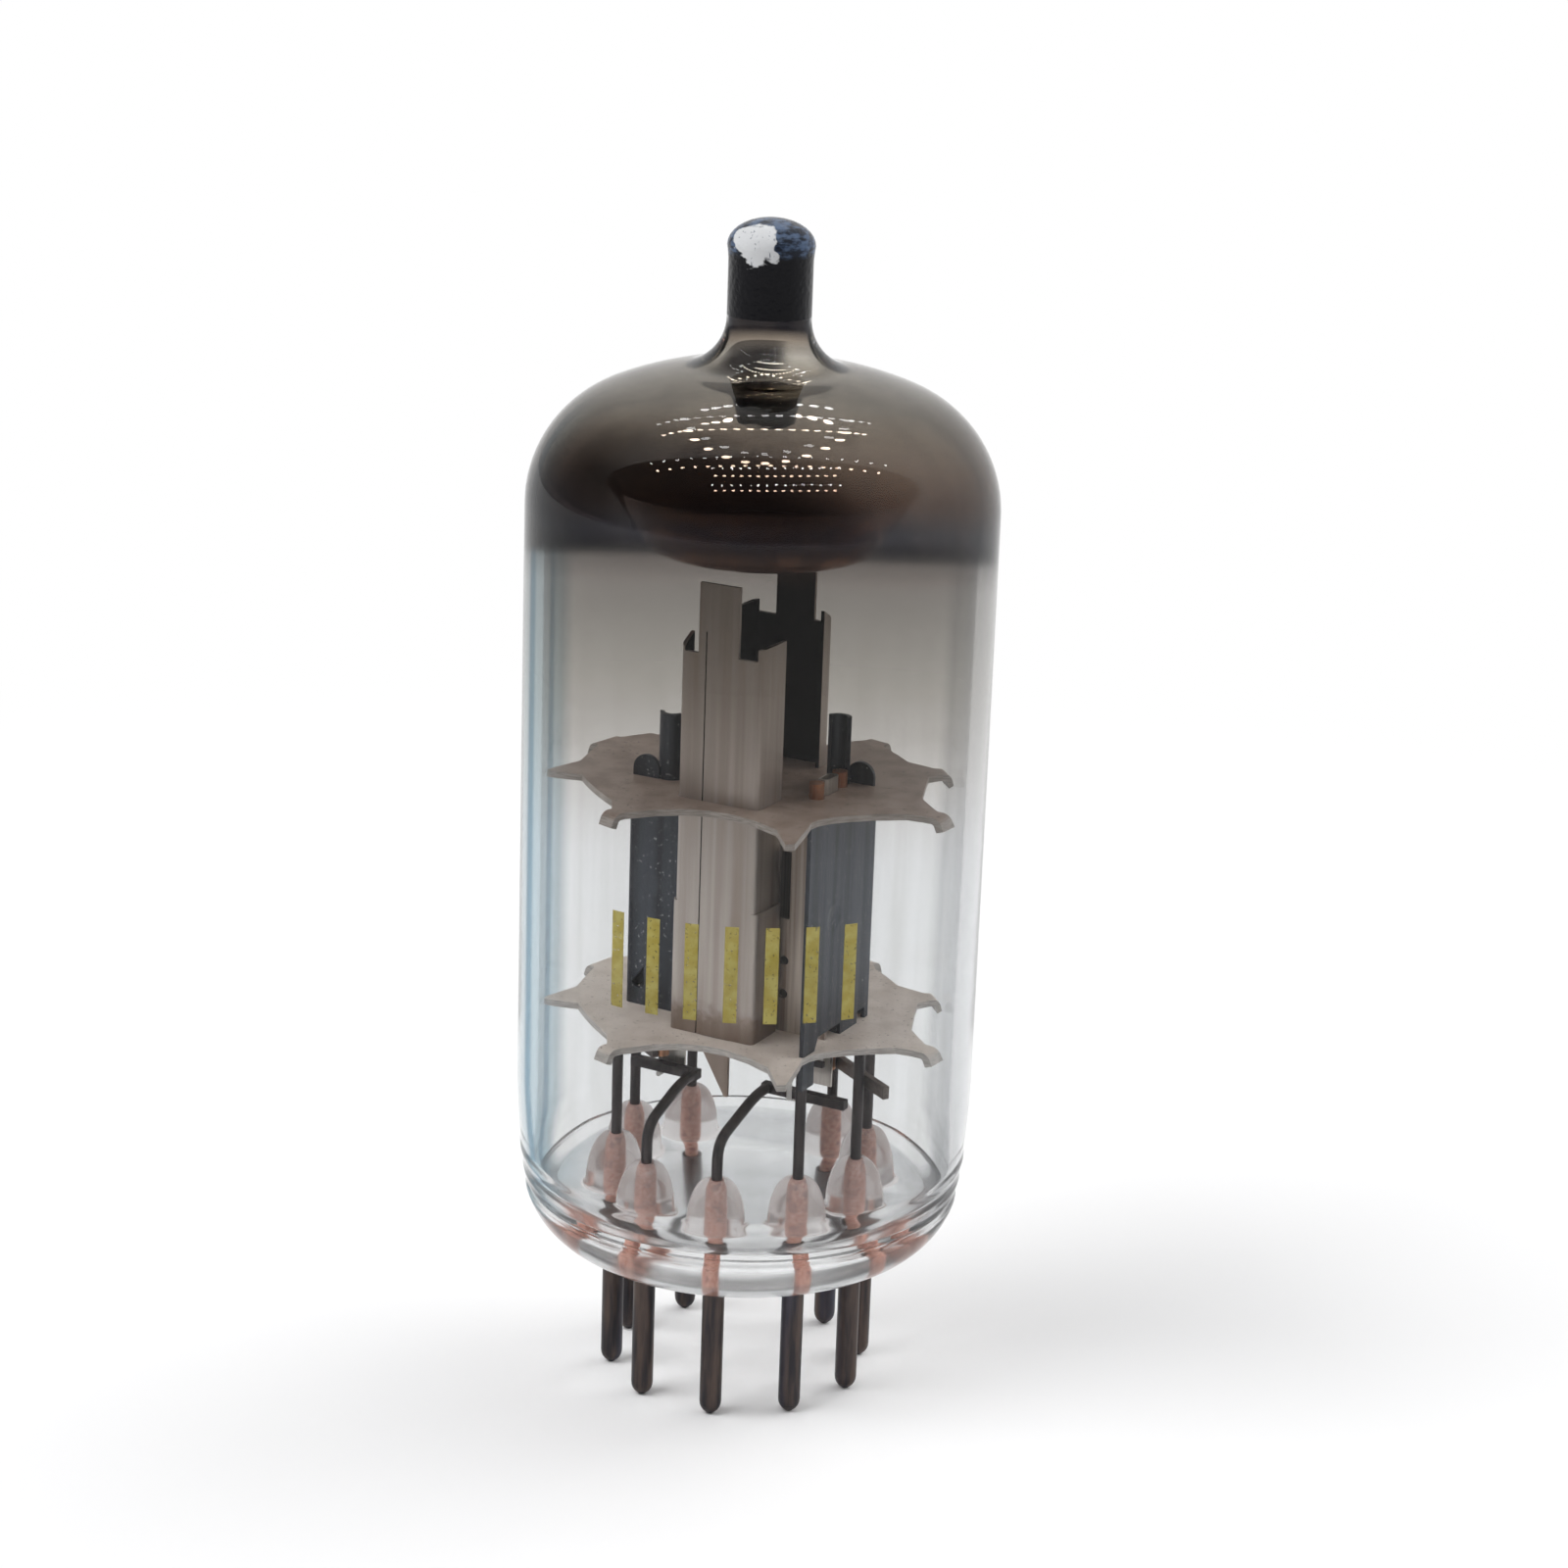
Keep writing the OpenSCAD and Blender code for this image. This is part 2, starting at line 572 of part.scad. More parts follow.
// End of a blunt tab, bent down beside the glass
module mica_lip(m) {
    steps = 5;
    x = tip_x(m) - lip_reach;
    c = [x, -mica_t - lip_bend];
    end = 90 - lip_turn;
    along = lip_len * [sin(end), -cos(end)];
    top = arc(c, lip_bend + mica_t, 90, end, steps);
    under = arc(c, lip_bend, end, 90, steps);
    free_end = [top[steps] + along, under[0] + along];
    rotate([0, 0, m[0] - 90])
        rotate([90, 0, 0])
            translate([0, 0, -m[2]])
                linear_extrude(height = 2 * m[2])
                    polygon(concat([[x - lip_lap, 0]], top, free_end, under, [[x - lip_lap, -mica_t]]));
}

// What both spacers have in each half: the cathode's hole and the two grid posts' holes
module mica_blank(z) {
    difference() {
        union() {
            translate([0, 0, z]) linear_extrude(height = mica_t) polygon(mica_outline());
            translate([0, 0, z + mica_t]) for (m = mica_points) if (m[2] >= blunt) mica_lip(m);
        }
        for (a = [0, 180]) rotate([0, 0, a]) {
            translate([0, 0, z - cut])
                linear_extrude(height = mica_t + 2 * cut) cathode_section(slot_gap);
            for (s = [-1, 1])
                translate([system_x, system_y + s * grid_reach, z - cut])
                    cylinder(h = mica_t + 2 * cut, d = grid_post_d + 2 * slot_gap);
        }
    }
}

module lower_mica_sheet() {
    difference() {
        mica_blank(mica_low_z);
        for (a = [0, 180]) rotate([0, 0, a]) {
            weld_tab(slot_gap);
            screen_spike(slot_gap);
        }
    }
}

module upper_mica_sheet() {
    difference() {
        mica_blank(mica_high_z);
        for (a = [0, 180]) rotate([0, 0, a]) {
            anode_lug(slot_gap);
            rolled_post(slot_gap);
            bent_sheet(longer(screen_path(0), slot_gap), screen_t + 2 * slot_gap, sheet_bend,
                mica_high_z - cut, mica_t + 2 * cut);
        }
    }
}

// Anodes, drawn for the right-hand system
sheet_bend = 0.2;
// Half angle that the rolled post lacks of a half circle at each edge
post_open = 12;
anode_mid_x = anode_x - anode_t / 2;
anode_mid_y = anode_y - anode_t / 2;

module weld_tab(grow = 0) {
    tab_end = lead_top - weld_len;
    translate([anode_x - anode_t - grow, -wing_y - grow, tab_end])
        cube([anode_t + 2 * grow, wing_y - wing_foot_y + 2 * grow, floor_z - tab_end + mica_t]);
}

module anode_lug(grow = 0) {
    side_h = mica_t + lug_rise;
    translate([lug_x, anode_y + grow, mica_high_z])
        rotate([90, 0, 0])
            linear_extrude(height = anode_t + 2 * grow) {
                translate([-lug_r - grow, 0]) square([2 * (lug_r + grow), side_h]);
                translate([0, side_h]) circle(r = lug_r + grow);
            }
}

module rolled_post(grow = 0) {
    open = post_open - asin(grow / post_r);
    translate([post_x, anode_y - post_r, mica_high_z])
        rotate([0, 0, open])
            rotate_extrude(angle = 180 - 2 * open)
                translate([post_r - anode_t - grow, 0]) square([anode_t + 2 * grow, mica_t + post_h]);
}

module dimple(at, turn) {
    ball_r = (pow(dimple_r, 2) + pow(dimple_deep, 2)) / (2 * dimple_deep);
    translate([at[0], at[1], floor_z + dimple_h])
        rotate([0, 0, turn])
            translate([ball_r - dimple_deep, 0, 0]) sphere(r = ball_r);
}

module anode_shell() {
    path = [[anode_x - anode_side, anode_mid_y], [anode_mid_x, anode_mid_y], [anode_mid_x, -wing_y]];
    // Teardrop of height 1 with its point up
    drop = [[0, 1], [0.57, 0.23], [0.45, 0.05], [0.18, 0], [-0.04, 0.18]];
    difference() {
        bent_sheet(path, anode_t, sheet_bend, floor_z, anode_h);
        // Arched lower edge on each side of the foot
        translate([anode_x - anode_t - cut, 0, floor_z])
            rotate([90, 0, 90])
                linear_extrude(height = anode_t + 2 * cut) {
                    polygon([
                        [-wing_foot_y, -cut], [-wing_foot_y, 0], [-wing_foot_y + arch_slant, arch_h],
                        [foot_pad_y - foot_pad_r, arch_h], [foot_pad_y - foot_pad_r, -cut]]);
                    polygon([[foot_pad_y + foot_pad_r, -cut], [foot_pad_y + foot_pad_r, arch_h],
                        [anode_y - 3 * anode_t, arch_h], [anode_y - 2 * anode_t, -cut]]);
                }
        translate([drop_x, anode_y + cut, floor_z + drop_rise])
            rotate([90, 0, 0]) linear_extrude(height = 2 * cut) polygon(drop_h * drop);
        dimple([side_dimple_x, anode_y], 90);
        dimple([anode_x, -wing_dimple_y], 0);
    }
    weld_tab();
    anode_lug();
    rolled_post();
    // Foot folded flat on the spacer
    intersection() {
        translate([anode_x - anode_t, foot_pad_y, floor_z]) cylinder(h = anode_t, r = foot_pad_r);
        translate([0, -anode_y, floor_z]) cube([anode_mid_x, 2 * anode_y, anode_t]);
    }
}

// Inner plate: a lap on the closed side, the wall between the systems, and the open side with its slot
module anode_plate() {
    mid_x = plate_x + plate_t / 2;
    lap_y = anode_y - anode_t - plate_t / 2;
    front_y = -plate_y + plate_t / 2;
    path = [[plate_x + plate_lap, lap_y], [mid_x, lap_y], [mid_x, front_y], [anode_x - anode_t, front_y]];
    difference() {
        bent_sheet(path, plate_t, sheet_bend, floor_z, anode_h);
        translate([plate_x + plate_slot_in, -plate_y - cut, floor_z + plate_slot_rise])
            cube([plate_slot_w, 2 * cut, plate_slot_h]);
        for (rise = [plate_hole_rise, plate_hole_rise + plate_hole_step])
            translate([plate_x + plate_hole_in, -plate_y + cut, floor_z + rise])
                rotate([90, 0, 0]) cylinder(h = 2 * cut, d = plate_hole_d);
    }
}

// Screens, drawn for the front one
step_z = floor_z + step_h;
screen_mid_y = -screen_y + screen_t / 2;
screen_left_x = screen_shift - screen_w / 2;
screen_right_x = screen_shift + screen_w / 2;

// Plan path of the screen, with its flanges set out by a step
function screen_path(out) = [
    [screen_left_x + screen_t / 2 - out, -screen_y + flange_short],
    [screen_left_x + screen_t / 2 - out, screen_mid_y],
    [screen_right_x - screen_t / 2 + out, screen_mid_y],
    [screen_right_x - screen_t / 2 + out, -screen_y + flange_long]];
// A path drawn out by g at both ends
function longer(path, g) = let (n = len(path) - 1) [for (i = [0 : n])
    i == 0 ? path[0] + g * unit(path[0] - path[1]) :
    i == n ? path[n] + g * unit(path[n] - path[n - 1]) : path[i]];

module screen_spike(grow = 0) {
    spike_end = floor_z - spike_h;
    translate([0, -screen_y + screen_t + grow, 0])
        rotate([90, 0, 0])
            linear_extrude(height = screen_t + 2 * grow)
                polygon([
                    [-grow, floor_z + mica_t], [-grow, mica_low_z - mica_t],
                    [spike_w - spike_slant - grow, spike_end], [spike_w + grow, spike_end],
                    [spike_w + grow, floor_z + mica_t]]);
}

module screen(reach) {
    top_z = floor_z + screen_h;
    difference() {
        union() {
            bent_sheet(screen_path(step_out), screen_t, sheet_bend, floor_z, step_h);
            difference() {
                bent_sheet(screen_path(0), screen_t, sheet_bend, step_z, screen_h + slant_high - step_h);
                // Top edge of the face between the corners
                translate([screen_left_x + corner_w, -screen_y - cut, top_z])
                    cube([screen_w - 2 * corner_w, screen_t + 2 * cut, cut]);
                // Flat top of the long flange
                translate([screen_right_x - corner_w - screen_t, -screen_y - cut, top_z + flange_over])
                    cube([corner_w + 2 * screen_t, screen_y + cut, cut]);
                // Slanted top of the short flange
                translate([screen_left_x - cut, -screen_y, top_z])
                    rotate([90, 0, 90])
                        linear_extrude(height = cut + corner_w + screen_t)
                            polygon([
                                [-cut, slant_low], [0, slant_low], [flange_short, slant_high],
                                [flange_short, slant_high + cut], [-cut, slant_high + cut]]);
            }
            translate([tongue_x - tongue_w / 2, -screen_y, top_z - cut])
                cube([tongue_w, screen_t, reach - screen_h + cut]);
            screen_spike();
        }
        // Crease down the outside of the face
        translate([screen_left_x + crease_in, -screen_y, floor_z - cut])
            linear_extrude(height = screen_h + 2 * cut)
                polygon([[-crease_deep, -crease_deep], [crease_deep, -crease_deep], [0, crease_deep]]);
    }
}

// Cathodes, heaters and grids, drawn for the right-hand system
function boxed(w, d, c) = [
    [-w / 2 + c, -d / 2], [w / 2 - c, -d / 2], [w / 2, -d / 2 + c], [w / 2, d / 2 - c],
    [w / 2 - c, d / 2], [-w / 2 + c, d / 2], [-w / 2, d / 2 - c], [-w / 2, -d / 2 + c]];
cathode_low_z = mica_low_z - cathode_out;
cathode_high_z = deck_z + cathode_out;

module cathode_section(grow = 0) {
    translate([system_x, system_y])
        polygon(boxed(cathode_d + 2 * grow, cathode_w + 2 * grow, cathode_corner));
}

module cathode() {
    full_h = cathode_high_z - cathode_low_z;
    difference() {
        union() {
            translate([0, 0, cathode_low_z]) linear_extrude(height = full_h) cathode_section();
            // Pressed collar that rests on the lower spacer
            translate([0, 0, floor_z]) linear_extrude(height = collar) cathode_section(collar);
        }
        translate([0, 0, cathode_low_z - cut])
            linear_extrude(height = full_h + 2 * cut) cathode_section(-cathode_t);
    }
}

heater_top_z = cathode_high_z - heater_in;
heater_bend = 0.8 * heater_leg;
link_y = heater_leg;
link_t = 2 * system_y - heater_d;
link_z = bar_z + link_rise;
heater_free_z = cathode_low_z - heater_free;

// Right heater: its front leg crosses in front of the right bar
module heater_right() {
    weld_x = system_x - heater_weld_in;
    weld_y = -bar_right_y - bar_t / 2 - heater_d / 2;
    path = rounded([
        [system_x, system_y + heater_leg, link_z - link_t],
        [system_x, system_y + heater_leg, heater_top_z],
        [system_x, system_y - heater_leg, heater_top_z],
        [system_x, system_y - heater_leg, heater_free_z],
        [weld_x, weld_y, bar_z + bar_t + heater_weld_rise],
        [weld_x, weld_y, bar_z - bar_t / 2]], heater_bend);
    wire(path, heater_d, [1, 0, 0]);
}

// Left heater: its front leg passes under the left bar
module heater_left() {
    weld_z = bar_z - bar_t / 2 - heater_d / 2;
    path = rounded([
        [-system_x, -system_y + heater_leg, link_z - link_t],
        [-system_x, -system_y + heater_leg, heater_top_z],
        [-system_x, -system_y - heater_leg, heater_top_z],
        [-system_x, -system_y - heater_leg, weld_z],
        [-system_x, -bar_left_y - bar_t / 2, weld_z]], heater_bend);
    wire(path, heater_d, [1, 0, 0]);
}

module heater_bar(x_near, x_far, y) {
    translate([min(x_near, x_far), -y - bar_t / 2, bar_z - bar_t / 2])
        cube([abs(x_far - x_near), bar_t, bar_t]);
}

// Cross bar that joins the two inner heater legs, with a branch to lead 9
module link() {
    reach = system_x + link_over;
    stop_y = pin_at(9)[1] - lead_r;
    translate([0, link_y, link_z - link_t / 2]) {
        translate([-reach, -link_t / 2, 0]) cube([2 * reach, link_t, link_t]);
        translate([pin_at(9)[0] - link_t / 2, 0, 0]) cube([link_t, stop_y - link_y, link_t]);
    }
}

// The grid wire lies a third of its thickness deep in its notches
notch_r = grid_post_d / 2 - grid_wire_d / 3;
grid_turns = floor((anode_h - 2 * grid_margin) / grid_pitch);
// Height of the grid wire at each half turn, on the rear post first
function grid_z(i) = floor_z + grid_margin + grid_pitch * i / 2;

strap_z = bar_z + strap_rise;
ribbon_top_z = cathode_low_z + ribbon_lap;
ribbon_low_z = bar_z - ribbon_drop;

// Ribbon from the cathode's lower end to lead 8
module cathode_ribbon() {
    arm_z = strap_z + strap_h + ribbon_gap;
    near_y = system_y + cathode_w / 2 + ribbon_t / 2;
    lead = pin_at(8);
    arm_x = lead[0] - lead_r - ribbon_t / 2;
    left_x = system_x - ribbon_out;
    arm = [[left_x, near_y], [arm_x, near_y], [arm_x, lead[1] + lead_r]];
    bent_sheet(arm, ribbon_t, sheet_bend, arm_z, ribbon_arm_h);
    translate([left_x, near_y - ribbon_t / 2, ribbon_low_z])
        cube([ribbon_w, ribbon_t, ribbon_top_z - ribbon_low_z]);
}

// Post with a notch under each turn of the grid wire; the rear one reaches down to its strap
module grid_post(side) {
    low_z = side > 0 ? strap_z : cathode_low_z;
    r = grid_post_d / 2;
    half_h = grid_wire_d / 2 + notch_gap;
    notches = [for (i = [side > 0 ? 0 : 1 : 2 : 2 * grid_turns])
        each [[r, grid_z(i) - half_h], [notch_r, grid_z(i) - half_h],
            [notch_r, grid_z(i) + half_h], [r, grid_z(i) + half_h]]];
    section = concat([[0, low_z], [r, low_z]], notches, [[r, cathode_high_z], [0, cathode_high_z]]);
    translate([system_x, system_y + side * grid_reach, 0]) rotate_extrude() polygon(section);
}

// Strap that lies against the rear grid post and against lead 7
module grid_strap(tail) {
    post = [system_x, system_y + grid_reach];
    lead = pin_at(7);
    from_post = grid_post_d / 2 + strap_t / 2;
    from_lead = lead_r + strap_t / 2;
    span = lead - post;
    turn = atan2(span[1], span[0]) - asin((from_post - from_lead) / norm(span));
    run = norm(span) * cos(atan2(span[1], span[0]) - turn);
    translate([post[0], post[1], strap_z])
        rotate([0, 0, turn])
            translate([-strap_start, grid_post_d / 2, 0])
                cube([strap_start + run + tail, strap_t, strap_h]);
}

// Grid wire wound round both posts, lying in their notches and rising between them
module winding() {
    steps = 4;
    loop_r = notch_r / cos(90 / steps) + grid_wire_d / 2;
    path = [for (i = [0 : 2 * grid_turns]) for (k = [0 : steps])
        let (rear = i % 2 == 0)
        let (a = (rear ? 0 : 180) + k * 180 / steps)
        [system_x + loop_r * cos(a),
         system_y + (rear ? 1 : -1) * grid_reach + loop_r * sin(a),
         grid_z(i)]];
    wire(path, grid_wire_d, [1, 0, 0], 6);
}

// Getter
module dish() {
    path = [
        [0, dish_z + dish_t / 2],
        [dish_floor_r + dish_bend / 2, dish_z + dish_t / 2],
        [dish_rim_r - dish_t / 2, dish_z + dish_h]];
    rotate_extrude() polygon(sheet_outline(path, dish_t, dish_bend));
}

module channel_ring() {
    translate([0, 0, dish_z + dish_t])
        rotate_extrude()
            translate([ring_r - ring_w / 2, 0])
                difference() {
                    square([ring_w, ring_h]);
                    translate([ring_t, ring_t]) square([ring_w - 2 * ring_t, ring_h]);
                }
}

// Metal film on the inside of the dome and the stub, ended by a slanting edge
module film() {
    low_z = dish_z - inner_r * tan(film_slope) - cut;
    outside = concat([[inner_r, low_z]], dome_side(glass_wall, stub_wall), bore_side(stub_wall));
    inside = concat(
        [[inner_r - film_t, low_z]],
        dome_side(glass_wall + film_t, stub_wall + film_t),
        bore_side(stub_wall + film_t));
    difference() {
        rotate_extrude() polygon(concat(outside, reversed(inside)));
        translate([0, 0, dish_z + film_rise])
            rotate([0, 0, film_turn])
                rotate([-film_slope, 0, 0])
                    translate([-bulb_d, -bulb_d, -bulb_d])
                        cube([2 * bulb_d, 2 * bulb_d, bulb_d]);
    }
}

// Named sub-parts
glass = [0.86, 0.91, 0.93, 0.22];
module bulb() { color(glass) bulb_shell(); }
module stem_glass() { color([0.82, 0.88, 0.86, 0.4]) stem(); }
module tube_pin(k) { color("#7a6d66") pin(k); }
module seal(k) { color("#b4533a") seal_wire(k); }
module inner_lead(k) { color("#4d4542") straight_lead(k); }
module heater_lead(k, bar_y) { color("#4d4542") bent_lead(k, bar_y); }
// Lead with a flat where the anode's tab lies against it
module welded_lead(k, turn) {
    color("#4d4542") difference() {
        straight_lead(k);
        rotate([0, 0, turn]) weld_tab();
    }
}
module lower_mica() { color("#b3a699") lower_mica_sheet(); }
module upper_mica() { color("#b3a699") upper_mica_sheet(); }
module anode_a() { color("#45484d") half_turn() anode_shell(); }
module anode_b() { color("#45484d") anode_shell(); }
module anode_plate_a() { color("#857870") half_turn() anode_plate(); }
module anode_plate_b() { color("#857870") anode_plate(); }
module screen_front() { color("#b8aa9c") screen(dish_tongue_h - tongue_gap); }
module screen_rear() { color("#b8aa9c") half_turn() screen(dish_tongue_h); }
module cathode_a() { color("#c9c4bc") half_turn() cathode(); }
module cathode_b() { color("#c9c4bc") cathode(); }
module heater_a() { color("#e8e6e0") heater_left(); }
module heater_b() { color("#e8e6e0") heater_right(); }
module grid_post_a_front() { color("#b07a55") half_turn() grid_post(1); }
module grid_post_a_rear() { color("#b07a55") half_turn() grid_post(-1); }
module grid_post_b_front() { color("#b07a55") grid_post(-1); }
module grid_post_b_rear() { color("#b07a55") grid_post(1); }
module grid_winding_a() { color("#b8ac90") half_turn() winding(); }
module grid_winding_b() { color("#b8ac90") winding(); }
module heater_bar_left() {
    color("#4a4341") heater_bar(pin_at(4)[0] + lead_r, -bar_left_end, bar_left_y);
}
module heater_bar_right() {
    color("#4a4341") heater_bar(pin_at(5)[0] - lead_r, bar_right_end, bar_right_y);
}
module heater_link() { color("#6b6460") link(); }
module cathode_ribbon_a() { color("#c4bfb6") half_turn() cathode_ribbon(); }
module cathode_ribbon_b() { color("#c4bfb6") cathode_ribbon(); }
module grid_strap_a() { color("#5a524e") half_turn() grid_strap(strap_left_tail); }
module grid_strap_b() { color("#5a524e") grid_strap(strap_right_tail); }
module getter_dish() { color("#3a2c22") dish(); }
module getter_ring() { color("#6e665e") channel_ring(); }
module getter_film() { color([0.2, 0.17, 0.15, 0.85]) film(); }

bulb();
stem_glass();
tube_pin(1);  // pin_1
tube_pin(2);  // pin_2
tube_pin(3);  // pin_3
tube_pin(4);  // pin_4
tube_pin(5);  // pin_5
tube_pin(6);  // pin_6
tube_pin(7);  // pin_7
tube_pin(8);  // pin_8
tube_pin(9);  // pin_9
seal(1);  // seal_wire_1
seal(2);  // seal_wire_2
seal(3);  // seal_wire_3
seal(4);  // seal_wire_4
seal(5);  // seal_wire_5
seal(6);  // seal_wire_6
seal(7);  // seal_wire_7
seal(8);  // seal_wire_8
seal(9);  // seal_wire_9
welded_lead(1, 180);  // inner_lead_1
inner_lead(2);  // inner_lead_2
inner_lead(3);  // inner_lead_3
heater_lead(4, bar_left_y);  // inner_lead_4
heater_lead(5, bar_right_y);  // inner_lead_5
welded_lead(6, 0);  // inner_lead_6
inner_lead(7);  // inner_lead_7
inner_lead(8);  // inner_lead_8
inner_lead(9);  // inner_lead_9
lower_mica();
upper_mica();
anode_a();
anode_b();
anode_plate_a();
anode_plate_b();
screen_front();
screen_rear();
cathode_a();
cathode_b();
heater_a();
heater_b();
grid_post_a_front();
grid_post_a_rear();
grid_post_b_front();
grid_post_b_rear();
grid_winding_a();
grid_winding_b();
heater_bar_left();
heater_bar_right();
heater_link();
cathode_ribbon_a();
cathode_ribbon_b();
grid_strap_a();
grid_strap_b();
getter_dish();
getter_ring();
getter_film();
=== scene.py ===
"""Looks of a miniature twin triode tube: glass, metal film, pins and the two electrode systems.

Lengths are in millimetres, and MM turns them into Blender's metres where a mesh or a node takes them.
The frame is the part's own: +Z is the tube's axis, and the pins stand on z = 0.
"""

import logging
from abc import ABC, abstractmethod
from dataclasses import dataclass, field
from enum import Enum, IntEnum
from math import acos, asin, cos, degrees, pi, radians, sin

import bmesh
import bpy
from mathutils import Matrix, Vector


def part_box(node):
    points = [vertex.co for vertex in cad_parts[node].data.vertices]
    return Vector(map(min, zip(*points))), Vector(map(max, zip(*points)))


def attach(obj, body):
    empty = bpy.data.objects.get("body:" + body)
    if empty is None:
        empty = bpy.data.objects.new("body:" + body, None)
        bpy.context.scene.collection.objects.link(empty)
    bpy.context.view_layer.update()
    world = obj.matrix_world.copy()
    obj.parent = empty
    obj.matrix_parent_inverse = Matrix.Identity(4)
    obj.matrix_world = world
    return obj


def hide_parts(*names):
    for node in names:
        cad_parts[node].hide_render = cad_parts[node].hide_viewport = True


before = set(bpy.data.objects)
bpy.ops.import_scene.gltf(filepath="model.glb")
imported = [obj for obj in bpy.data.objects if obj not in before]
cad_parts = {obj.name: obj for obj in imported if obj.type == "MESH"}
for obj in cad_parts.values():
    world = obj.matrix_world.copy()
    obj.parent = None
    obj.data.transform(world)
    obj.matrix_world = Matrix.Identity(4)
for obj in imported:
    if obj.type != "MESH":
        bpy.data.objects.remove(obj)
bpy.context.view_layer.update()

MM = 0.001
BODY = "root"
PIN_NUMBERS = range(1, 10)
MERGE = 1e-4
UP = Vector((0.0, 0.0, 1.0))
WHITE = (1.0, 1.0, 1.0)
LOG = logging.getLogger("tube")

Rgb = tuple[float, float, float]
Place = tuple[float, float, float]
Point = tuple[float, float]
Span = tuple[float, float]
Stops = tuple[tuple[float, Rgb], ...]
Socket = bpy.types.NodeSocket


def direction(azimuth: float) -> Vector:
    """Level unit vector at an angle in degrees, from the front (-Y) towards +X."""
    turn = radians(azimuth)
    return Vector((sin(turn), -cos(turn), 0.0))


def arc(
    centre: Point, radius: float, start: float, end: float, steps: int, tall: float | None = None
) -> list[Point]:
    """Points of a round arc, or of an oval one with tall as its upright radius, at angles in degrees."""
    upright = radius if tall is None else tall
    turns = [radians(start + (end - start) * i / steps) for i in range(steps + 1)]
    return [(centre[0] + radius * cos(t), centre[1] + upright * sin(t)) for t in turns]


def darker(color: Rgb, share: float) -> Rgb:
    """Colour of which each part is a share of what it was."""
    return tuple(share * part for part in color)


def add_object(name: str, data: bpy.types.ID) -> bpy.types.Object:
    """Adds a mesh, a light or a camera to the scene.

    Args:
        name: Name of the object.
        data: What it shows.

    Returns:
        The new object.
    """
    made = bpy.data.objects.new(name, data)
    bpy.context.scene.collection.objects.link(made)
    return made


class Grain(Enum):
    """Direction in which a pattern runs, as its stretches along X, Y and Z."""

    EVEN = (1.0, 1.0, 1.0)
    DRAWN = (1.0, 1.0, 9.0)
    BRUSHED = (1.0, 1.0, 40.0)
    FLAT = (1.0, 1.0, 0.3)
    LEAVED = (12.0, 12.0, 1.0)
    STREAKED = (1.0, 1.0, 14.0)
    CLOUDED = (1.0, 1.0, 4.0)
    CRACKED = (1.0, 1.0, 3.0)
    MELTED = (2.5, 2.5, 1.0)
    CHIPPED = (1.6, 1.6, 1.0)


class Slope(Enum):
    """Way in which a mapped value goes from 0 to 1, by Blender's name."""

    SOFT = "SMOOTHSTEP"
    STRAIGHT = "LINEAR"


@dataclass(frozen=True)
class Pattern:
    """Noise of one grain size, whose values from low to high are spread over 0 to 1."""

    size: float
    low: float = 0.3
    high: float = 0.7
    grain: Grain = Grain.EVEN
    detail: float = 3.0


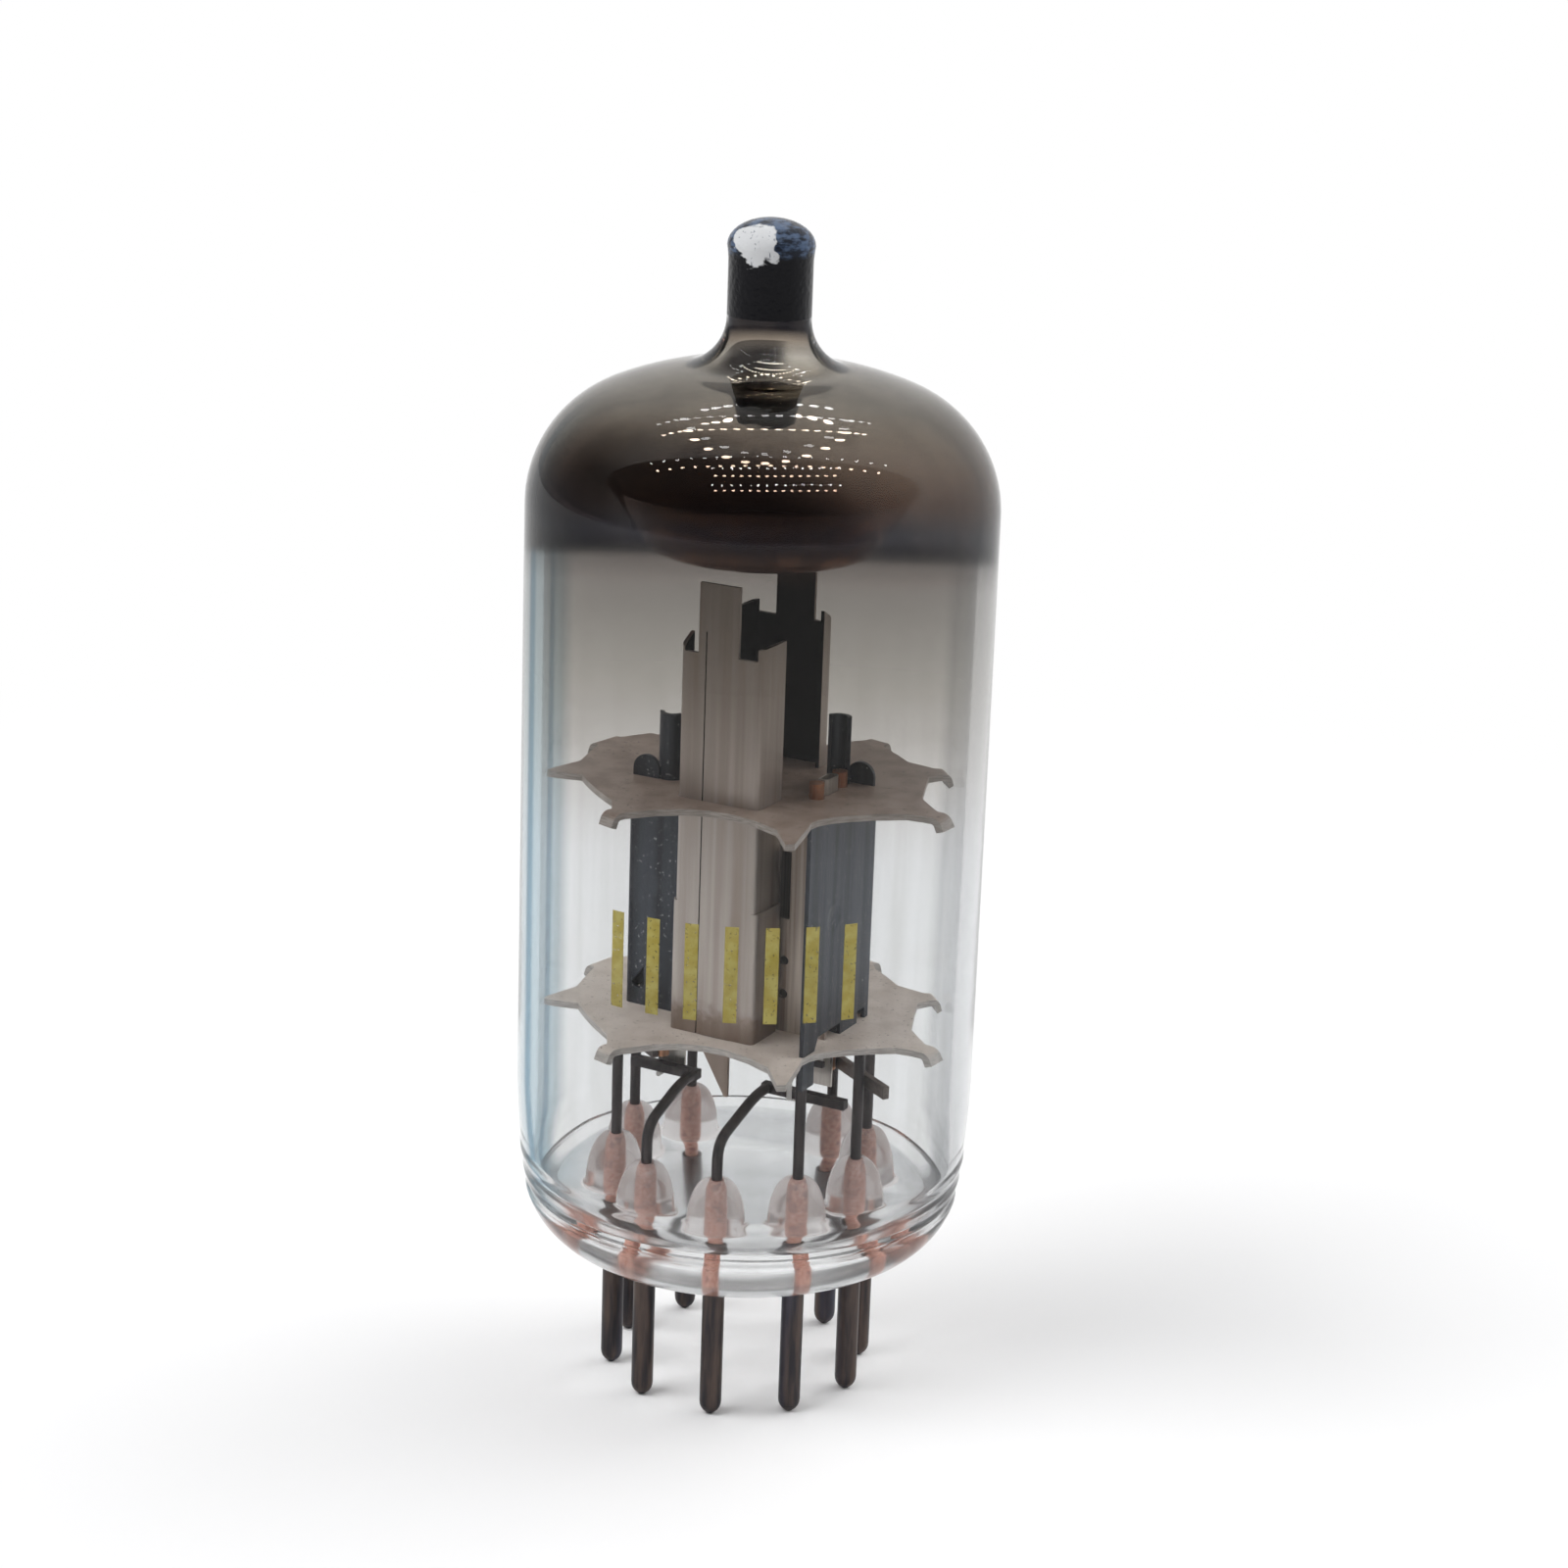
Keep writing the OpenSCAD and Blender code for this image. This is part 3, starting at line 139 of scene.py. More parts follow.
class Graph:
    """Node tree of one material or world, with short calls for the nodes that the finishes share.

    MIX_INPUTS are the places of the share and the two colours on a Mix node, and MIX_OUTPUT is the result's.
    """

    MIX_INPUTS = (0, 6, 7)
    MIX_OUTPUT = 2
    NUMBER_OPERATIONS = ("DOT_PRODUCT", "LENGTH", "DISTANCE")

    def __init__(self, tree: bpy.types.NodeTree) -> None:
        """Empties the tree and keeps it."""
        tree.nodes.clear()
        self.tree = tree

    def fill(self, socket: Socket, value: object) -> None:
        """Feeds an input.

        Args:
            socket: Input to feed.
            value: Output to link, or a number, a vector or a colour, with or without its alpha.
        """
        if isinstance(value, Socket):
            self.tree.links.new(value, socket)
        elif socket.type == "RGBA" and len(value) == 3:
            socket.default_value = (*value, 1.0)
        else:
            socket.default_value = value

    def node(self, kind: str, **values: object) -> bpy.types.Node:
        """Adds a node.

        Args:
            kind: Blender's name of the node type.
            **values: Attributes, or inputs by name with blanks written as underscores.

        Returns:
            The new node.
        """
        made = self.tree.nodes.new(kind)
        for key, value in values.items():
            socket = made.inputs.get(key.replace("_", " "))
            if socket is None:
                setattr(made, key, value)
            else:
                self.fill(socket, value)
        return made

    def place(self) -> Socket:
        """Object coordinates in metres, as a vector output."""
        return self.node("ShaderNodeTexCoord").outputs["Object"]

    def normal(self) -> Socket:
        """Direction that the surface faces, as a vector output."""
        return self.node("ShaderNodeNewGeometry").outputs["Normal"]

    def along(self, axis: Vector) -> Socket:
        """Distance from the origin along an axis, in metres."""
        return self.vector_math("DOT_PRODUCT", self.place(), axis)

    def math(self, operation: str, a: object, b: object = 0.0, clamp: bool = False) -> Socket:
        """Adds a Math node.

        Args:
            operation: Blender's name of the operation.
            a: First number or output.
            b: Second number or output.
            clamp: Whether the result is kept from 0 to 1.

        Returns:
            The result's output.
        """
        made = self.node("ShaderNodeMath", operation=operation, use_clamp=clamp)
        for socket, value in zip(made.inputs, (a, b)):
            self.fill(socket, value)
        return made.outputs[0]

    def times(self, a: object, b: object) -> Socket:
        """Product of two numbers or outputs."""
        return self.math("MULTIPLY", a, b)

    def inverse(self, share: Socket) -> Socket:
        """What a share leaves of one."""
        return self.math("SUBTRACT", 1.0, share)

    def vector_math(self, operation: str, a: object, b: object = (0.0, 0.0, 0.0)) -> Socket:
        """Adds a Vector Math node.

        Args:
            operation: Blender's name of the operation.
            a: First vector or output.
            b: Second vector or output.

        Returns:
            The result's output, which is a number for NUMBER_OPERATIONS.
        """
        made = self.node("ShaderNodeVectorMath", operation=operation)
        for socket, value in zip(made.inputs, (a, b)):
            self.fill(socket, value)
        return made.outputs["Value" if operation in self.NUMBER_OPERATIONS else "Vector"]

    def spread(self, value: Socket, low: float, high: float, slope: Slope = Slope.SOFT) -> Socket:
        """Maps the stretch from low to high onto 0 to 1, and what is beyond it to its ends."""
        made = self.node(
            "ShaderNodeMapRange", interpolation_type=slope.value, Value=value, From_Min=low, From_Max=high)
        return made.outputs["Result"]

    def rise(self, distance: Socket, low: float, high: float, slope: Slope = Slope.SOFT) -> Socket:
        """Goes from 0 to 1 between two distances, which are given in millimetres."""
        return self.spread(distance, low * MM, high * MM, slope)

    def between(self, low: float, high: float, share: Socket) -> Socket:
        """Goes from low to high as a share goes from 0 to 1."""
        return self.node("ShaderNodeMapRange", Value=share, To_Min=low, To_Max=high).outputs["Result"]

    def ramp(self, value: Socket, stops: Stops) -> Socket:
        """Adds a colour ramp.

        Args:
            value: Output from 0 to 1 that picks the colour.
            stops: Positions with their colours.

        Returns:
            The colour output.
        """
        made = self.node("ShaderNodeValToRGB", Fac=value)
        elements = made.color_ramp.elements
        while len(elements) < len(stops):
            elements.new(0.5)
        for element, (position, color) in zip(elements, stops):
            element.position = position
            element.color = (*color, 1.0)
        return made.outputs["Color"]

    def blend(self, share: object, a: object, b: object, kind: str = "MIX") -> Socket:
        """Adds a colour mix.

        Args:
            share: Share of b, as a number or an output.
            a: First colour or output.
            b: Second colour or output.
            kind: Blender's name of the mix.

        Returns:
            The mixed colour output.
        """
        made = self.node("ShaderNodeMix", data_type="RGBA", blend_type=kind)
        for index, value in zip(self.MIX_INPUTS, (share, a, b)):
            self.fill(made.inputs[index], value)
        return made.outputs[self.MIX_OUTPUT]

    def noise(self, size: float, grain: Grain = Grain.EVEN, detail: float = 3.0) -> Socket:
        """Adds a noise in the part's own frame.

        Args:
            size: Size of the grain in millimetres.
            grain: Direction in which it runs.
            detail: Number of finer layers.

        Returns:
            The noise value's output.
        """
        scale = tuple(1.0 / (size * MM * stretch) for stretch in grain.value)
        mapping = self.node("ShaderNodeMapping", Vector=self.place(), Scale=scale)
        made = self.node("ShaderNodeTexNoise", Vector=mapping.outputs[0], Scale=1.0, Detail=detail)
        return made.outputs["Fac"]

    def patches(self, pattern: Pattern) -> Socket:
        """Adds a noise with its contrast raised, from 0 to 1."""
        noise = self.noise(pattern.size, pattern.grain, pattern.detail)
        return self.spread(noise, pattern.low, pattern.high)

    def bump(self, height: Socket, depth: float) -> Socket:
        """Normal of a relief from heights of 0 to 1, with its depth in millimetres."""
        made = self.node("ShaderNodeBump", Strength=1.0, Distance=depth * MM, Height=height)
        return made.outputs["Normal"]

    def principled(self, color: object, roughness: object, **values: object) -> Socket:
        """Adds a Principled shader, whose other inputs go by name with blanks as underscores."""
        made = self.node("ShaderNodeBsdfPrincipled", Base_Color=color, Roughness=roughness, **values)
        return made.outputs[0]

    def mix(self, share: object, a: Socket, b: Socket) -> Socket:
        """Adds a shader mix.

        Args:
            share: Share of b, as a number or an output.
            a: First shader.
            b: Second shader.

        Returns:
            The mixed shader's output.
        """
        made = self.node("ShaderNodeMixShader", Fac=share)
        self.fill(made.inputs[1], a)
        self.fill(made.inputs[2], b)
        return made.outputs[0]

    def lit_through(self, shader: Socket, tint: Rgb) -> Socket:
        """Lets lamps shine through a glass as through a tinted pane."""
        pane = self.node("ShaderNodeBsdfTransparent", Color=tint).outputs[0]
        return self.mix(self.node("ShaderNodeLightPath").outputs["Is Shadow Ray"], shader, pane)


@dataclass(frozen=True)
class Finish(ABC):
    """Named finish, from which one material is made."""

    name: str

    @abstractmethod
    def shader(self, graph: Graph) -> Socket:
        """Draws the finish in a material's node graph.

        Args:
            graph: Node graph of the material.

        Returns:
            The shader's output.
        """

    def build(self) -> bpy.types.Material:
        """Makes the material.

        Returns:
            The new material.
        """
        material = bpy.data.materials.new(self.name)
        material.use_nodes = True
        graph = Graph(material.node_tree)
        graph.node("ShaderNodeOutputMaterial", Surface=self.shader(graph))
        return material


@dataclass(frozen=True)
class SheetFinish(Finish):
    """Finish of a metal, coated or mineral surface with grain, blotches and fine relief."""

    base: Rgb
    accent: Rgb
    metallic: float
    roughness: float
    grain: Grain = Grain.EVEN
    grain_size: float = 0.25
    blotch_size: float = 1.6
    blotch: Rgb | None = None
    relief: float = 0.004
    uneven: float = 0.08
    dust: float = 0.0
    dust_tone: Rgb = (0.55, 0.55, 0.55)
    specks: Pattern = Pattern(0.13, 0.68, 0.74, detail=1.0)

    def color(self, graph: Graph) -> Socket:
        """Colour of the grain, with the dust and the blotches over it.

        Args:
            graph: Node graph of the material.

        Returns:
            The colour output.
        """
        fine = graph.patches(Pattern(self.grain_size, grain=self.grain))
        mixed = graph.blend(fine, self.base, self.accent)
        if self.dust:
            mixed = graph.blend(graph.times(graph.patches(self.specks), self.dust), mixed, self.dust_tone)
        if self.blotch is None:
            return mixed
        wide = graph.patches(Pattern(self.blotch_size, 0.48, 0.72, self.grain, 2.0))
        return graph.blend(wide, mixed, self.blotch)

    def shader(self, graph: Graph) -> Socket:
        """Shader of the surface, uneven in its gloss.

        Args:
            graph: Node graph of the material.

        Returns:
            The shader's output.
        """
        gloss = graph.noise(self.grain_size * 2, self.grain)
        roughness = graph.between(self.roughness - self.uneven, self.roughness + self.uneven, gloss)
        relief = graph.bump(graph.noise(self.grain_size, self.grain), self.relief)
        return graph.principled(self.color(graph), roughness, Metallic=self.metallic, Normal=relief)


@dataclass(frozen=True)
class TwoSidedFinish(SheetFinish):
    """Sheet whose side towards a line parallel to the axis is dark."""

    heart: Point = (0.0, 0.0)
    inner: Rgb = (0.004, 0.003, 0.003)
    inner_roughness: float = 0.6
    dirt: Rgb = (0.22, 0.15, 0.11)
    dirt_share: float = 0.75
    dirt_span: Span = (17.8, 18.8)
    dirt_size: float = 0.4
    dirt_rag: float = 1.4
    cast: Rgb = (0.17, 0.14, 0.125)
    cast_share: float = 0.45
    cast_span: Span = (24.0, 36.0)

    def color(self, graph: Graph) -> Socket:
        """Colour of the sheet, with brown dirt at its foot and a dull cast towards the film.

        Args:
            graph: Node graph of the material.

        Returns:
            The colour output.
        """
        height = graph.along(UP)
        ragged = graph.times(graph.noise(self.dirt_size, detail=5.0), self.dirt_rag * MM)
        dirt = graph.inverse(graph.rise(graph.math("SUBTRACT", height, ragged), *self.dirt_span))
        body = graph.blend(graph.times(dirt, self.dirt_share), super().color(graph), self.dirt)
        cast = graph.times(graph.rise(height, *self.cast_span), self.cast_share)
        return graph.blend(cast, body, self.cast)

    def shader(self, graph: Graph) -> Socket:
        """Shader of the sheet, black where it faces its heart.

        Args:
            graph: Node graph of the material.

        Returns:
            The shader's output.
        """
        heart = (self.heart[0] * MM, self.heart[1] * MM, 0.0)
        away = graph.vector_math("SUBTRACT", graph.place(), heart)
        level = graph.vector_math("MULTIPLY", away, (1.0, 1.0, 0.0))
        facing = graph.vector_math("DOT_PRODUCT", level, graph.normal())
        inside = graph.math("LESS_THAN", facing, 0.0)
        black = graph.principled(self.inner, self.inner_roughness, Specular_IOR_Level=0.0)
        return graph.mix(inside, super().shader(graph), black)


@dataclass(frozen=True)
class MicaFinish(Finish):
    """Thin mineral sheet that lets a little light through, with a mottled face and pale split edges."""

    pale: Rgb
    dark: Rgb
    edge: Rgb = (0.62, 0.57, 0.52)
    edge_share: float = 0.8
    upright: Span = (0.35, 0.85)
    flakes: Pattern = Pattern(1.3, 0.35, 0.7, Grain.FLAT, 5.0)
    specks: Pattern = Pattern(0.18, 0.64, 0.72, detail=2.0)
    speck_shade: float = 0.55
    leaves: Pattern = Pattern(0.05, 0.35, 0.65, Grain.LEAVED, 2.0)
    leaf_shade: float = 0.6
    roughness: float = 0.34
    relief: float = 0.012
    relief_size: float = 0.5
    through: float = 0.3

    def shader(self, graph: Graph) -> Socket:
        """Flakes and specks on the faces, leaves on the edges, and the light that comes through.

        Args:
            graph: Node graph of the material.

        Returns:
            The shader's output.
        """
        face = graph.blend(graph.patches(self.flakes), self.pale, self.dark)
        face = graph.blend(graph.patches(self.specks), face, darker(self.dark, self.speck_shade))
        turned = graph.math("ABSOLUTE", graph.vector_math("DOT_PRODUCT", graph.normal(), UP))
        side = graph.inverse(graph.spread(turned, *self.upright))
        split = graph.blend(graph.patches(self.leaves), self.edge, darker(self.edge, self.leaf_shade))
        color = graph.blend(graph.times(side, self.edge_share), face, split)
        relief = graph.bump(graph.noise(self.relief_size, Grain.FLAT, 4.0), self.relief)
        sheet = graph.principled(color, self.roughness, Normal=relief)
        back = graph.node("ShaderNodeBsdfTranslucent", Color=color).outputs[0]
        return graph.mix(self.through, sheet, back)


@dataclass(frozen=True)
class FilmEdge:
    """Slanting plane in which the metal film on the glass ends."""

    level: float = 39.55
    slope: float = 0.227
    azimuth: float = 28.0

    def height(self, graph: Graph) -> Socket:
        """Height over the plane, in metres."""
        axis = UP - self.slope * direction(self.azimuth)
        return graph.math("SUBTRACT", graph.along(axis), self.level * MM)


@dataclass(frozen=True)
class GlassFinish(Finish):
    """Clear glass that lamps shine through, smoked below the film, with painted shade and a painted blue
    reflection at its rim.

    smoke goes from smoke_depth below the film's edge up to the edge, and smoke_end is where it stops over
    it. The span of the painted blue reflection on the rim is a distance from the axis towards its side.
    """

    film_edge: FilmEdge
    clear: Rgb = (0.9, 0.9, 0.9)
    smoke: Stops = (
        (0.0, (0.82, 0.83, 0.835)), (0.1, (0.81, 0.815, 0.82)), (0.33, (0.71, 0.70, 0.685)),
        (0.59, (0.57, 0.555, 0.53)), (0.82, (0.46, 0.445, 0.425)), (1.0, (0.40, 0.38, 0.365)))
    smoke_depth: float = 15.0
    smoke_end: Span = (-0.2, 0.8)
    streaks: Pattern = Pattern(1.1, 0.35, 0.7, Grain.STREAKED)
    streak: Rgb = (0.45, 0.43, 0.40)
    streak_share: float = 0.16
    # painted shade at the rim where the glass is seen edge on, and on one side a painted blue reflection
    painted_rim_shade: Stops = (
        (0.0, WHITE), (0.5, WHITE), (0.6, (0.52, 0.53, 0.54)), (0.8, (0.60, 0.61, 0.62)),
        (0.93, (0.66, 0.67, 0.68)), (1.0, (0.28, 0.30, 0.32)))
    painted_rim_reflection: Stops = (
        (0.0, WHITE), (0.5, WHITE), (0.6, (0.34, 0.45, 0.50)), (0.67, (0.30, 0.46, 0.54)),
        (0.70, (0.05, 0.14, 0.22)), (0.75, (0.03, 0.10, 0.17)), (0.78, (0.34, 0.46, 0.52)),
        (0.93, (0.5, 0.55, 0.58)), (1.0, (0.2, 0.24, 0.28)))
    reflection_azimuth: float = -62.0
    reflection_span: Span = (6.5, 9.5)
    lamp_tint: Rgb = (0.95, 0.955, 0.96)
    bend: float = 1.22
    roughness: float = 0.0

    def tint(self, graph: Graph) -> Socket:
        """Colour of the glass, smoked up to the film, with painted shade at its rim and a painted blue
        reflection on one side.

        Args:
            graph: Node graph of the material.

        Returns:
            The colour output.
        """
        # painted shade at the rim, and a painted blue reflection on the side given by the azimuth
        facing = graph.node("ShaderNodeLayerWeight", Blend=0.5).outputs["Facing"]
        side = graph.rise(graph.along(direction(self.reflection_azimuth)), *self.reflection_span)
        rim = graph.blend(side, graph.ramp(facing, self.painted_rim_shade), graph.ramp(facing, self.painted_rim_reflection))
        over = self.film_edge.height(graph)
        smoked = graph.ramp(graph.rise(over, -self.smoke_depth, 0.0, Slope.STRAIGHT), self.smoke)
        body = graph.blend(graph.rise(over, *self.smoke_end), smoked, self.clear)
        streaks = graph.times(graph.patches(self.streaks), self.streak_share)
        return graph.blend(1.0, graph.blend(streaks, body, self.streak), rim, "MULTIPLY")

    def shader(self, graph: Graph) -> Socket:
        """Shader of the glass."""
        glass = graph.principled(self.tint(graph), self.roughness, Transmission_Weight=1.0, IOR=self.bend)
        return graph.lit_through(glass, self.lamp_tint)


@dataclass(frozen=True)
class TipFinish(Finish):
    """Melted tip of the stub: dark blue metal-coated glass with a white frosted chip on one side.

    It is black up to black_to, where the film in the bore shows. The chip's place is given by its azimuth,
    its distance from the axis and its drop below the top.
    """

    top: float
    black_to: float
    black: Rgb = (0.006, 0.006, 0.008)
    black_fade: float = 0.3
    dark: Rgb = (0.012, 0.016, 0.026)
    blue: Rgb = (0.08, 0.12, 0.2)
    streaks: Pattern = Pattern(0.22, 0.4, 0.66, Grain.MELTED, 5.0)
    chip: Rgb = (0.66, 0.67, 0.68)
    chip_azimuth: float = 4.0
    chip_out: float = 1.7
    chip_drop: float = 0.908
    chip_r: float = 1.75
    chip_fade: float = 0.12
    chip_rag: float = 1.6
    chip_rag_size: float = 0.6
    crack: Rgb = (0.2, 0.22, 0.26)
    cracks: Pattern = Pattern(0.16, 0.62, 0.7, Grain.CRACKED)
    roughness: float = 0.18
    shine: float = 0.12
    relief: float = 0.05
    relief_size: float = 0.25

    def shader(self, graph: Graph) -> Socket:
        """Streaked glass with black at its foot, and the cracked white chip in its ragged outline.

        Args:
            graph: Node graph of the material.

        Returns:
            The shader's output.
        """
        centre = self.chip_out * direction(self.chip_azimuth) + (self.top - self.chip_drop) * UP
        away = graph.vector_math("DISTANCE", graph.place(), centre * MM)
        ragged = graph.times(graph.noise(self.chip_rag_size, Grain.CHIPPED, 6.0), self.chip_rag * MM)
        reach = graph.math("ADD", away, ragged)
        chipped = graph.inverse(graph.rise(reach, self.chip_r, self.chip_r + self.chip_fade))
        body = graph.blend(graph.patches(self.streaks), self.dark, self.blue)
        low = graph.inverse(graph.rise(graph.along(UP), self.black_to, self.black_to + self.black_fade))
        body = graph.blend(low, body, self.black)
        frosted = graph.blend(graph.patches(self.cracks), self.chip, self.crack)
        color = graph.blend(chipped, body, frosted)
        relief = graph.bump(graph.noise(self.relief_size, detail=5.0), self.relief)
        return graph.principled(color, self.roughness, Specular_IOR_Level=self.shine, Normal=relief)


@dataclass(frozen=True)
class BeadFinish(Finish):
    """Frosted glass of the beads, partly see-through and partly milky."""

    clear: Rgb = (0.96, 0.92, 0.91)
    clear_roughness: float = 0.22
    bend: float = 1.5
    milk: Rgb = (0.56, 0.48, 0.45)
    milk_roughness: float = 0.45
    milk_share: float = 0.36
    lamp_tint: Rgb = (0.9, 0.88, 0.87)

    def shader(self, graph: Graph) -> Socket:
        """Shader of the beads.

        Args:
            graph: Node graph of the material.

        Returns:
            The shader's output.
        """
        glass = graph.principled(self.clear, self.clear_roughness, Transmission_Weight=1.0, IOR=self.bend)
        milk = graph.principled(self.milk, self.milk_roughness)
        return graph.lit_through(graph.mix(self.milk_share, glass, milk), self.lamp_tint)


@dataclass(frozen=True)
class FilmFinish(Finish):
    """Metal film on the glass: bluish at the slanting edge, brown on the dome, a painted highlight on the
    flare, black in the stub.

    The spans are heights over the film's edge, apart from thick_span, which is a distance from the axis
    towards the film's thick side. The covers are what the film stops of the light.
    """

    edge: FilmEdge
    tone_span: Span = (-1.2, 14.0)
    # the pale gold stops from 0.47 to 0.70, some 6 to 9.4 mm over the edge, are a painted highlight on the
    # flare
    tones_and_flare_highlight: Stops = (
        (0.0, (0.30, 0.17, 0.13)), (0.07, (0.018, 0.018, 0.030)), (0.145, (0.026, 0.024, 0.032)),
        (0.22, (0.085, 0.050, 0.036)), (0.31, (0.17, 0.118, 0.085)), (0.47, (0.27, 0.235, 0.19)),
        (0.58, (0.36, 0.315, 0.25)), (0.645, (0.60, 0.56, 0.49)), (0.70, (0.3, 0.25, 0.2)),
        (0.73, (0.012, 0.011, 0.014)), (1.0, (0.010, 0.010, 0.014)))
    streaks: Pattern = Pattern(1.8, 0.3, 0.75, Grain.CLOUDED, 4.0)
    streak: Rgb = (0.10, 0.082, 0.07)
    streak_share: float = 0.3
    black: Rgb = (0.009, 0.009, 0.012)
    black_span: Span = (1.5, 5.5)
    thick_azimuth: float = -62.0
    thick_span: Span = (5.0, 9.8)
    thick_cover: float = 0.3
    thin_cover: float = 0.5
    high_span: Span = (4.0, 7.5)
    high_cover: float = 0.28
    edge_span: Span = (-0.6, 0.45)
    breath_span: Span = (-1.7, -0.5)
    breath_cover: float = 0.08
    stub_span: Span = (9.0, 9.8)
    grazing: Rgb = (0.5, 0.5, 0.52)

    def shader(self, graph: Graph) -> Socket:
        """Shader of the film, with its colour and the share of the light that it stops.

        Args:
            graph: Node graph of the material.

        Returns:
            The shader's output.
        """
        over = self.edge.height(graph)
        thick = graph.rise(graph.along(direction(self.thick_azimuth)), *self.thick_span)
        # the ramp paints a highlight on the flare below the stub
        tones_and_flare_highlight = graph.ramp(graph.rise(over, *self.tone_span, Slope.STRAIGHT), self.tones_and_flare_highlight)
        streaks = graph.times(graph.patches(self.streaks), self.streak_share)
        low = graph.inverse(graph.rise(over, *self.black_span))
        color = graph.blend(graph.times(low, thick), graph.blend(streaks, tones_and_flare_highlight, self.streak), self.black)
        high = graph.times(graph.rise(over, *self.high_span), self.high_cover)
        side = graph.times(thick, self.thick_cover)
        wall = graph.math("ADD", graph.math("ADD", self.thin_cover, high), side)
        film = graph.times(graph.rise(over, *self.edge_span), wall)
        breath = graph.times(graph.rise(over, *self.breath_span), self.breath_cover)
        stub = graph.rise(over, *self.stub_span)
        cover = graph.math("ADD", graph.math("ADD", film, breath), stub, clamp=True)
        return graph.principled(color, 0.0, Metallic=1.0, Alpha=cover, Specular_Tint=self.grazing)


@dataclass(frozen=True)
class PrintFinish(Finish):
    """Worn yellow paint fired on the glass."""

    paint: Rgb = (0.36, 0.29, 0.05)
    worn: Rgb = (0.44, 0.38, 0.10)
    wear: Pattern = Pattern(0.5, 0.35, 0.7)
    pits: Pattern = Pattern(0.16, 0.30, 0.42, detail=5.0)
    cover: Span = (0.35, 0.82)
    roughness: float = 0.5

    def shader(self, graph: Graph) -> Socket:
        """Shader of the paint, thinner in its pits."""
        tone = graph.blend(graph.patches(self.wear), self.paint, self.worn)
        return graph.principled(
            tone, self.roughness, Alpha=graph.between(*self.cover, graph.patches(self.pits)))


@dataclass(frozen=True)
class FloorFinish(Finish):
    """Pale floor that keeps the shadow near the tube, and is plain white further out."""

    pale: Rgb = (0.93, 0.93, 0.93)
    roughness: float = 0.9
    white_span: Span = (55.0, 130.0)

    def shader(self, graph: Graph) -> Socket:
        """Shader of the floor, white far out for the camera, in reflections and through glass.

        Args:
            graph: Node graph of the material.

        Returns:
            The shader's output.
        """
        matt = graph.principled(self.pale, self.roughness)
        white = graph.node("ShaderNodeEmission", Color=WHITE, Strength=1.0).outputs[0]
        far = graph.rise(graph.vector_math("LENGTH", graph.place()), *self.white_span)
        path = graph.node("ShaderNodeLightPath").outputs
        seen = graph.math("ADD", path["Is Camera Ray"], path["Is Glossy Ray"])
        seen = graph.math("ADD", seen, path["Is Transmission Ray"], clamp=True)
        return graph.mix(graph.times(far, seen), matt, white)


class Shape:
    """A bmesh that is shaped in millimetres and then placed as a piece on the body."""

    def __init__(self) -> None:
        """Starts an empty shape."""
        self.bm = bmesh.new()

    def lathe(
        self, points: list[Point], steps: int, centre: Point = (0.0, 0.0), inward: bool = False
    ) -> list[bmesh.types.BMFace]:
        """Spins a side view a full turn.

        Args:
            points: Distances from the axis and heights.
            steps: Number of steps in the turn.
            centre: Plan position of the axis.
            inward: Whether the faces point at the axis, as on a cavity.

        Returns:
            The new faces.
        """
        before = set(self.bm.faces)
        verts = [self.bm.verts.new((centre[0] + r, centre[1], z)) for r, z in points]
        edges = [self.bm.edges.new(pair) for pair in zip(verts, verts[1:])]
        bmesh.ops.spin(
            self.bm, geom=[*verts, *edges], cent=(*centre, 0.0), axis=UP, angle=2 * pi, steps=steps,
            use_merge=True)
        near = {v for f in self.bm.faces if f not in before for v in f.verts}
        bmesh.ops.remove_doubles(self.bm, verts=list(near), dist=MERGE)
        faces = [f for f in self.bm.faces if f not in before]
        bmesh.ops.recalc_face_normals(self.bm, faces=faces)
        widest = max(faces, key=lambda f: (f.calc_center_median().xy - Vector(centre)).length)
        out = widest.normal.xy.dot(widest.calc_center_median().xy - Vector(centre)) > 0
        if out == inward:
            bmesh.ops.reverse_faces(self.bm, faces=faces)
        return faces

    def finish(self, name: str, *materials: bpy.types.Material) -> bpy.types.Object:
        """Turns the shape into a piece on the body.

        Args:
            name: Name of the piece.
            *materials: Its materials, in the order of its faces' numbers.

        Returns:
            The new object.
        """
        bmesh.ops.scale(self.bm, vec=(MM, MM, MM), verts=self.bm.verts)
        for face in self.bm.faces:
            face.smooth = True
        mesh = bpy.data.meshes.new(name)
        self.bm.to_mesh(mesh)
        self.bm.free()
        for material in materials:
            mesh.materials.append(material)
        made = add_object(name, mesh)
        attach(made, BODY)
        LOG.info("%s: %d faces", name, len(mesh.polygons))
        return made


class Glass(IntEnum):
    """Kind of glass on a face of the envelope, as the number of its material."""

    BULB = 0
    BEAD = 1
    TIP = 2
    FOOT = 3


@dataclass(frozen=True)
class Band:
    """Soft raised band in the foot of the bulb, where it was worked at the seal."""

    height: float
    half: float
    rise: float

    def proud(self, over: float) -> float:
        """How far the band stands out at a height over the seam."""
        share = (over - self.height) / self.half
        return self.rise * (1 - share ** 2) ** 2 if abs(share) < 1 else 0.0


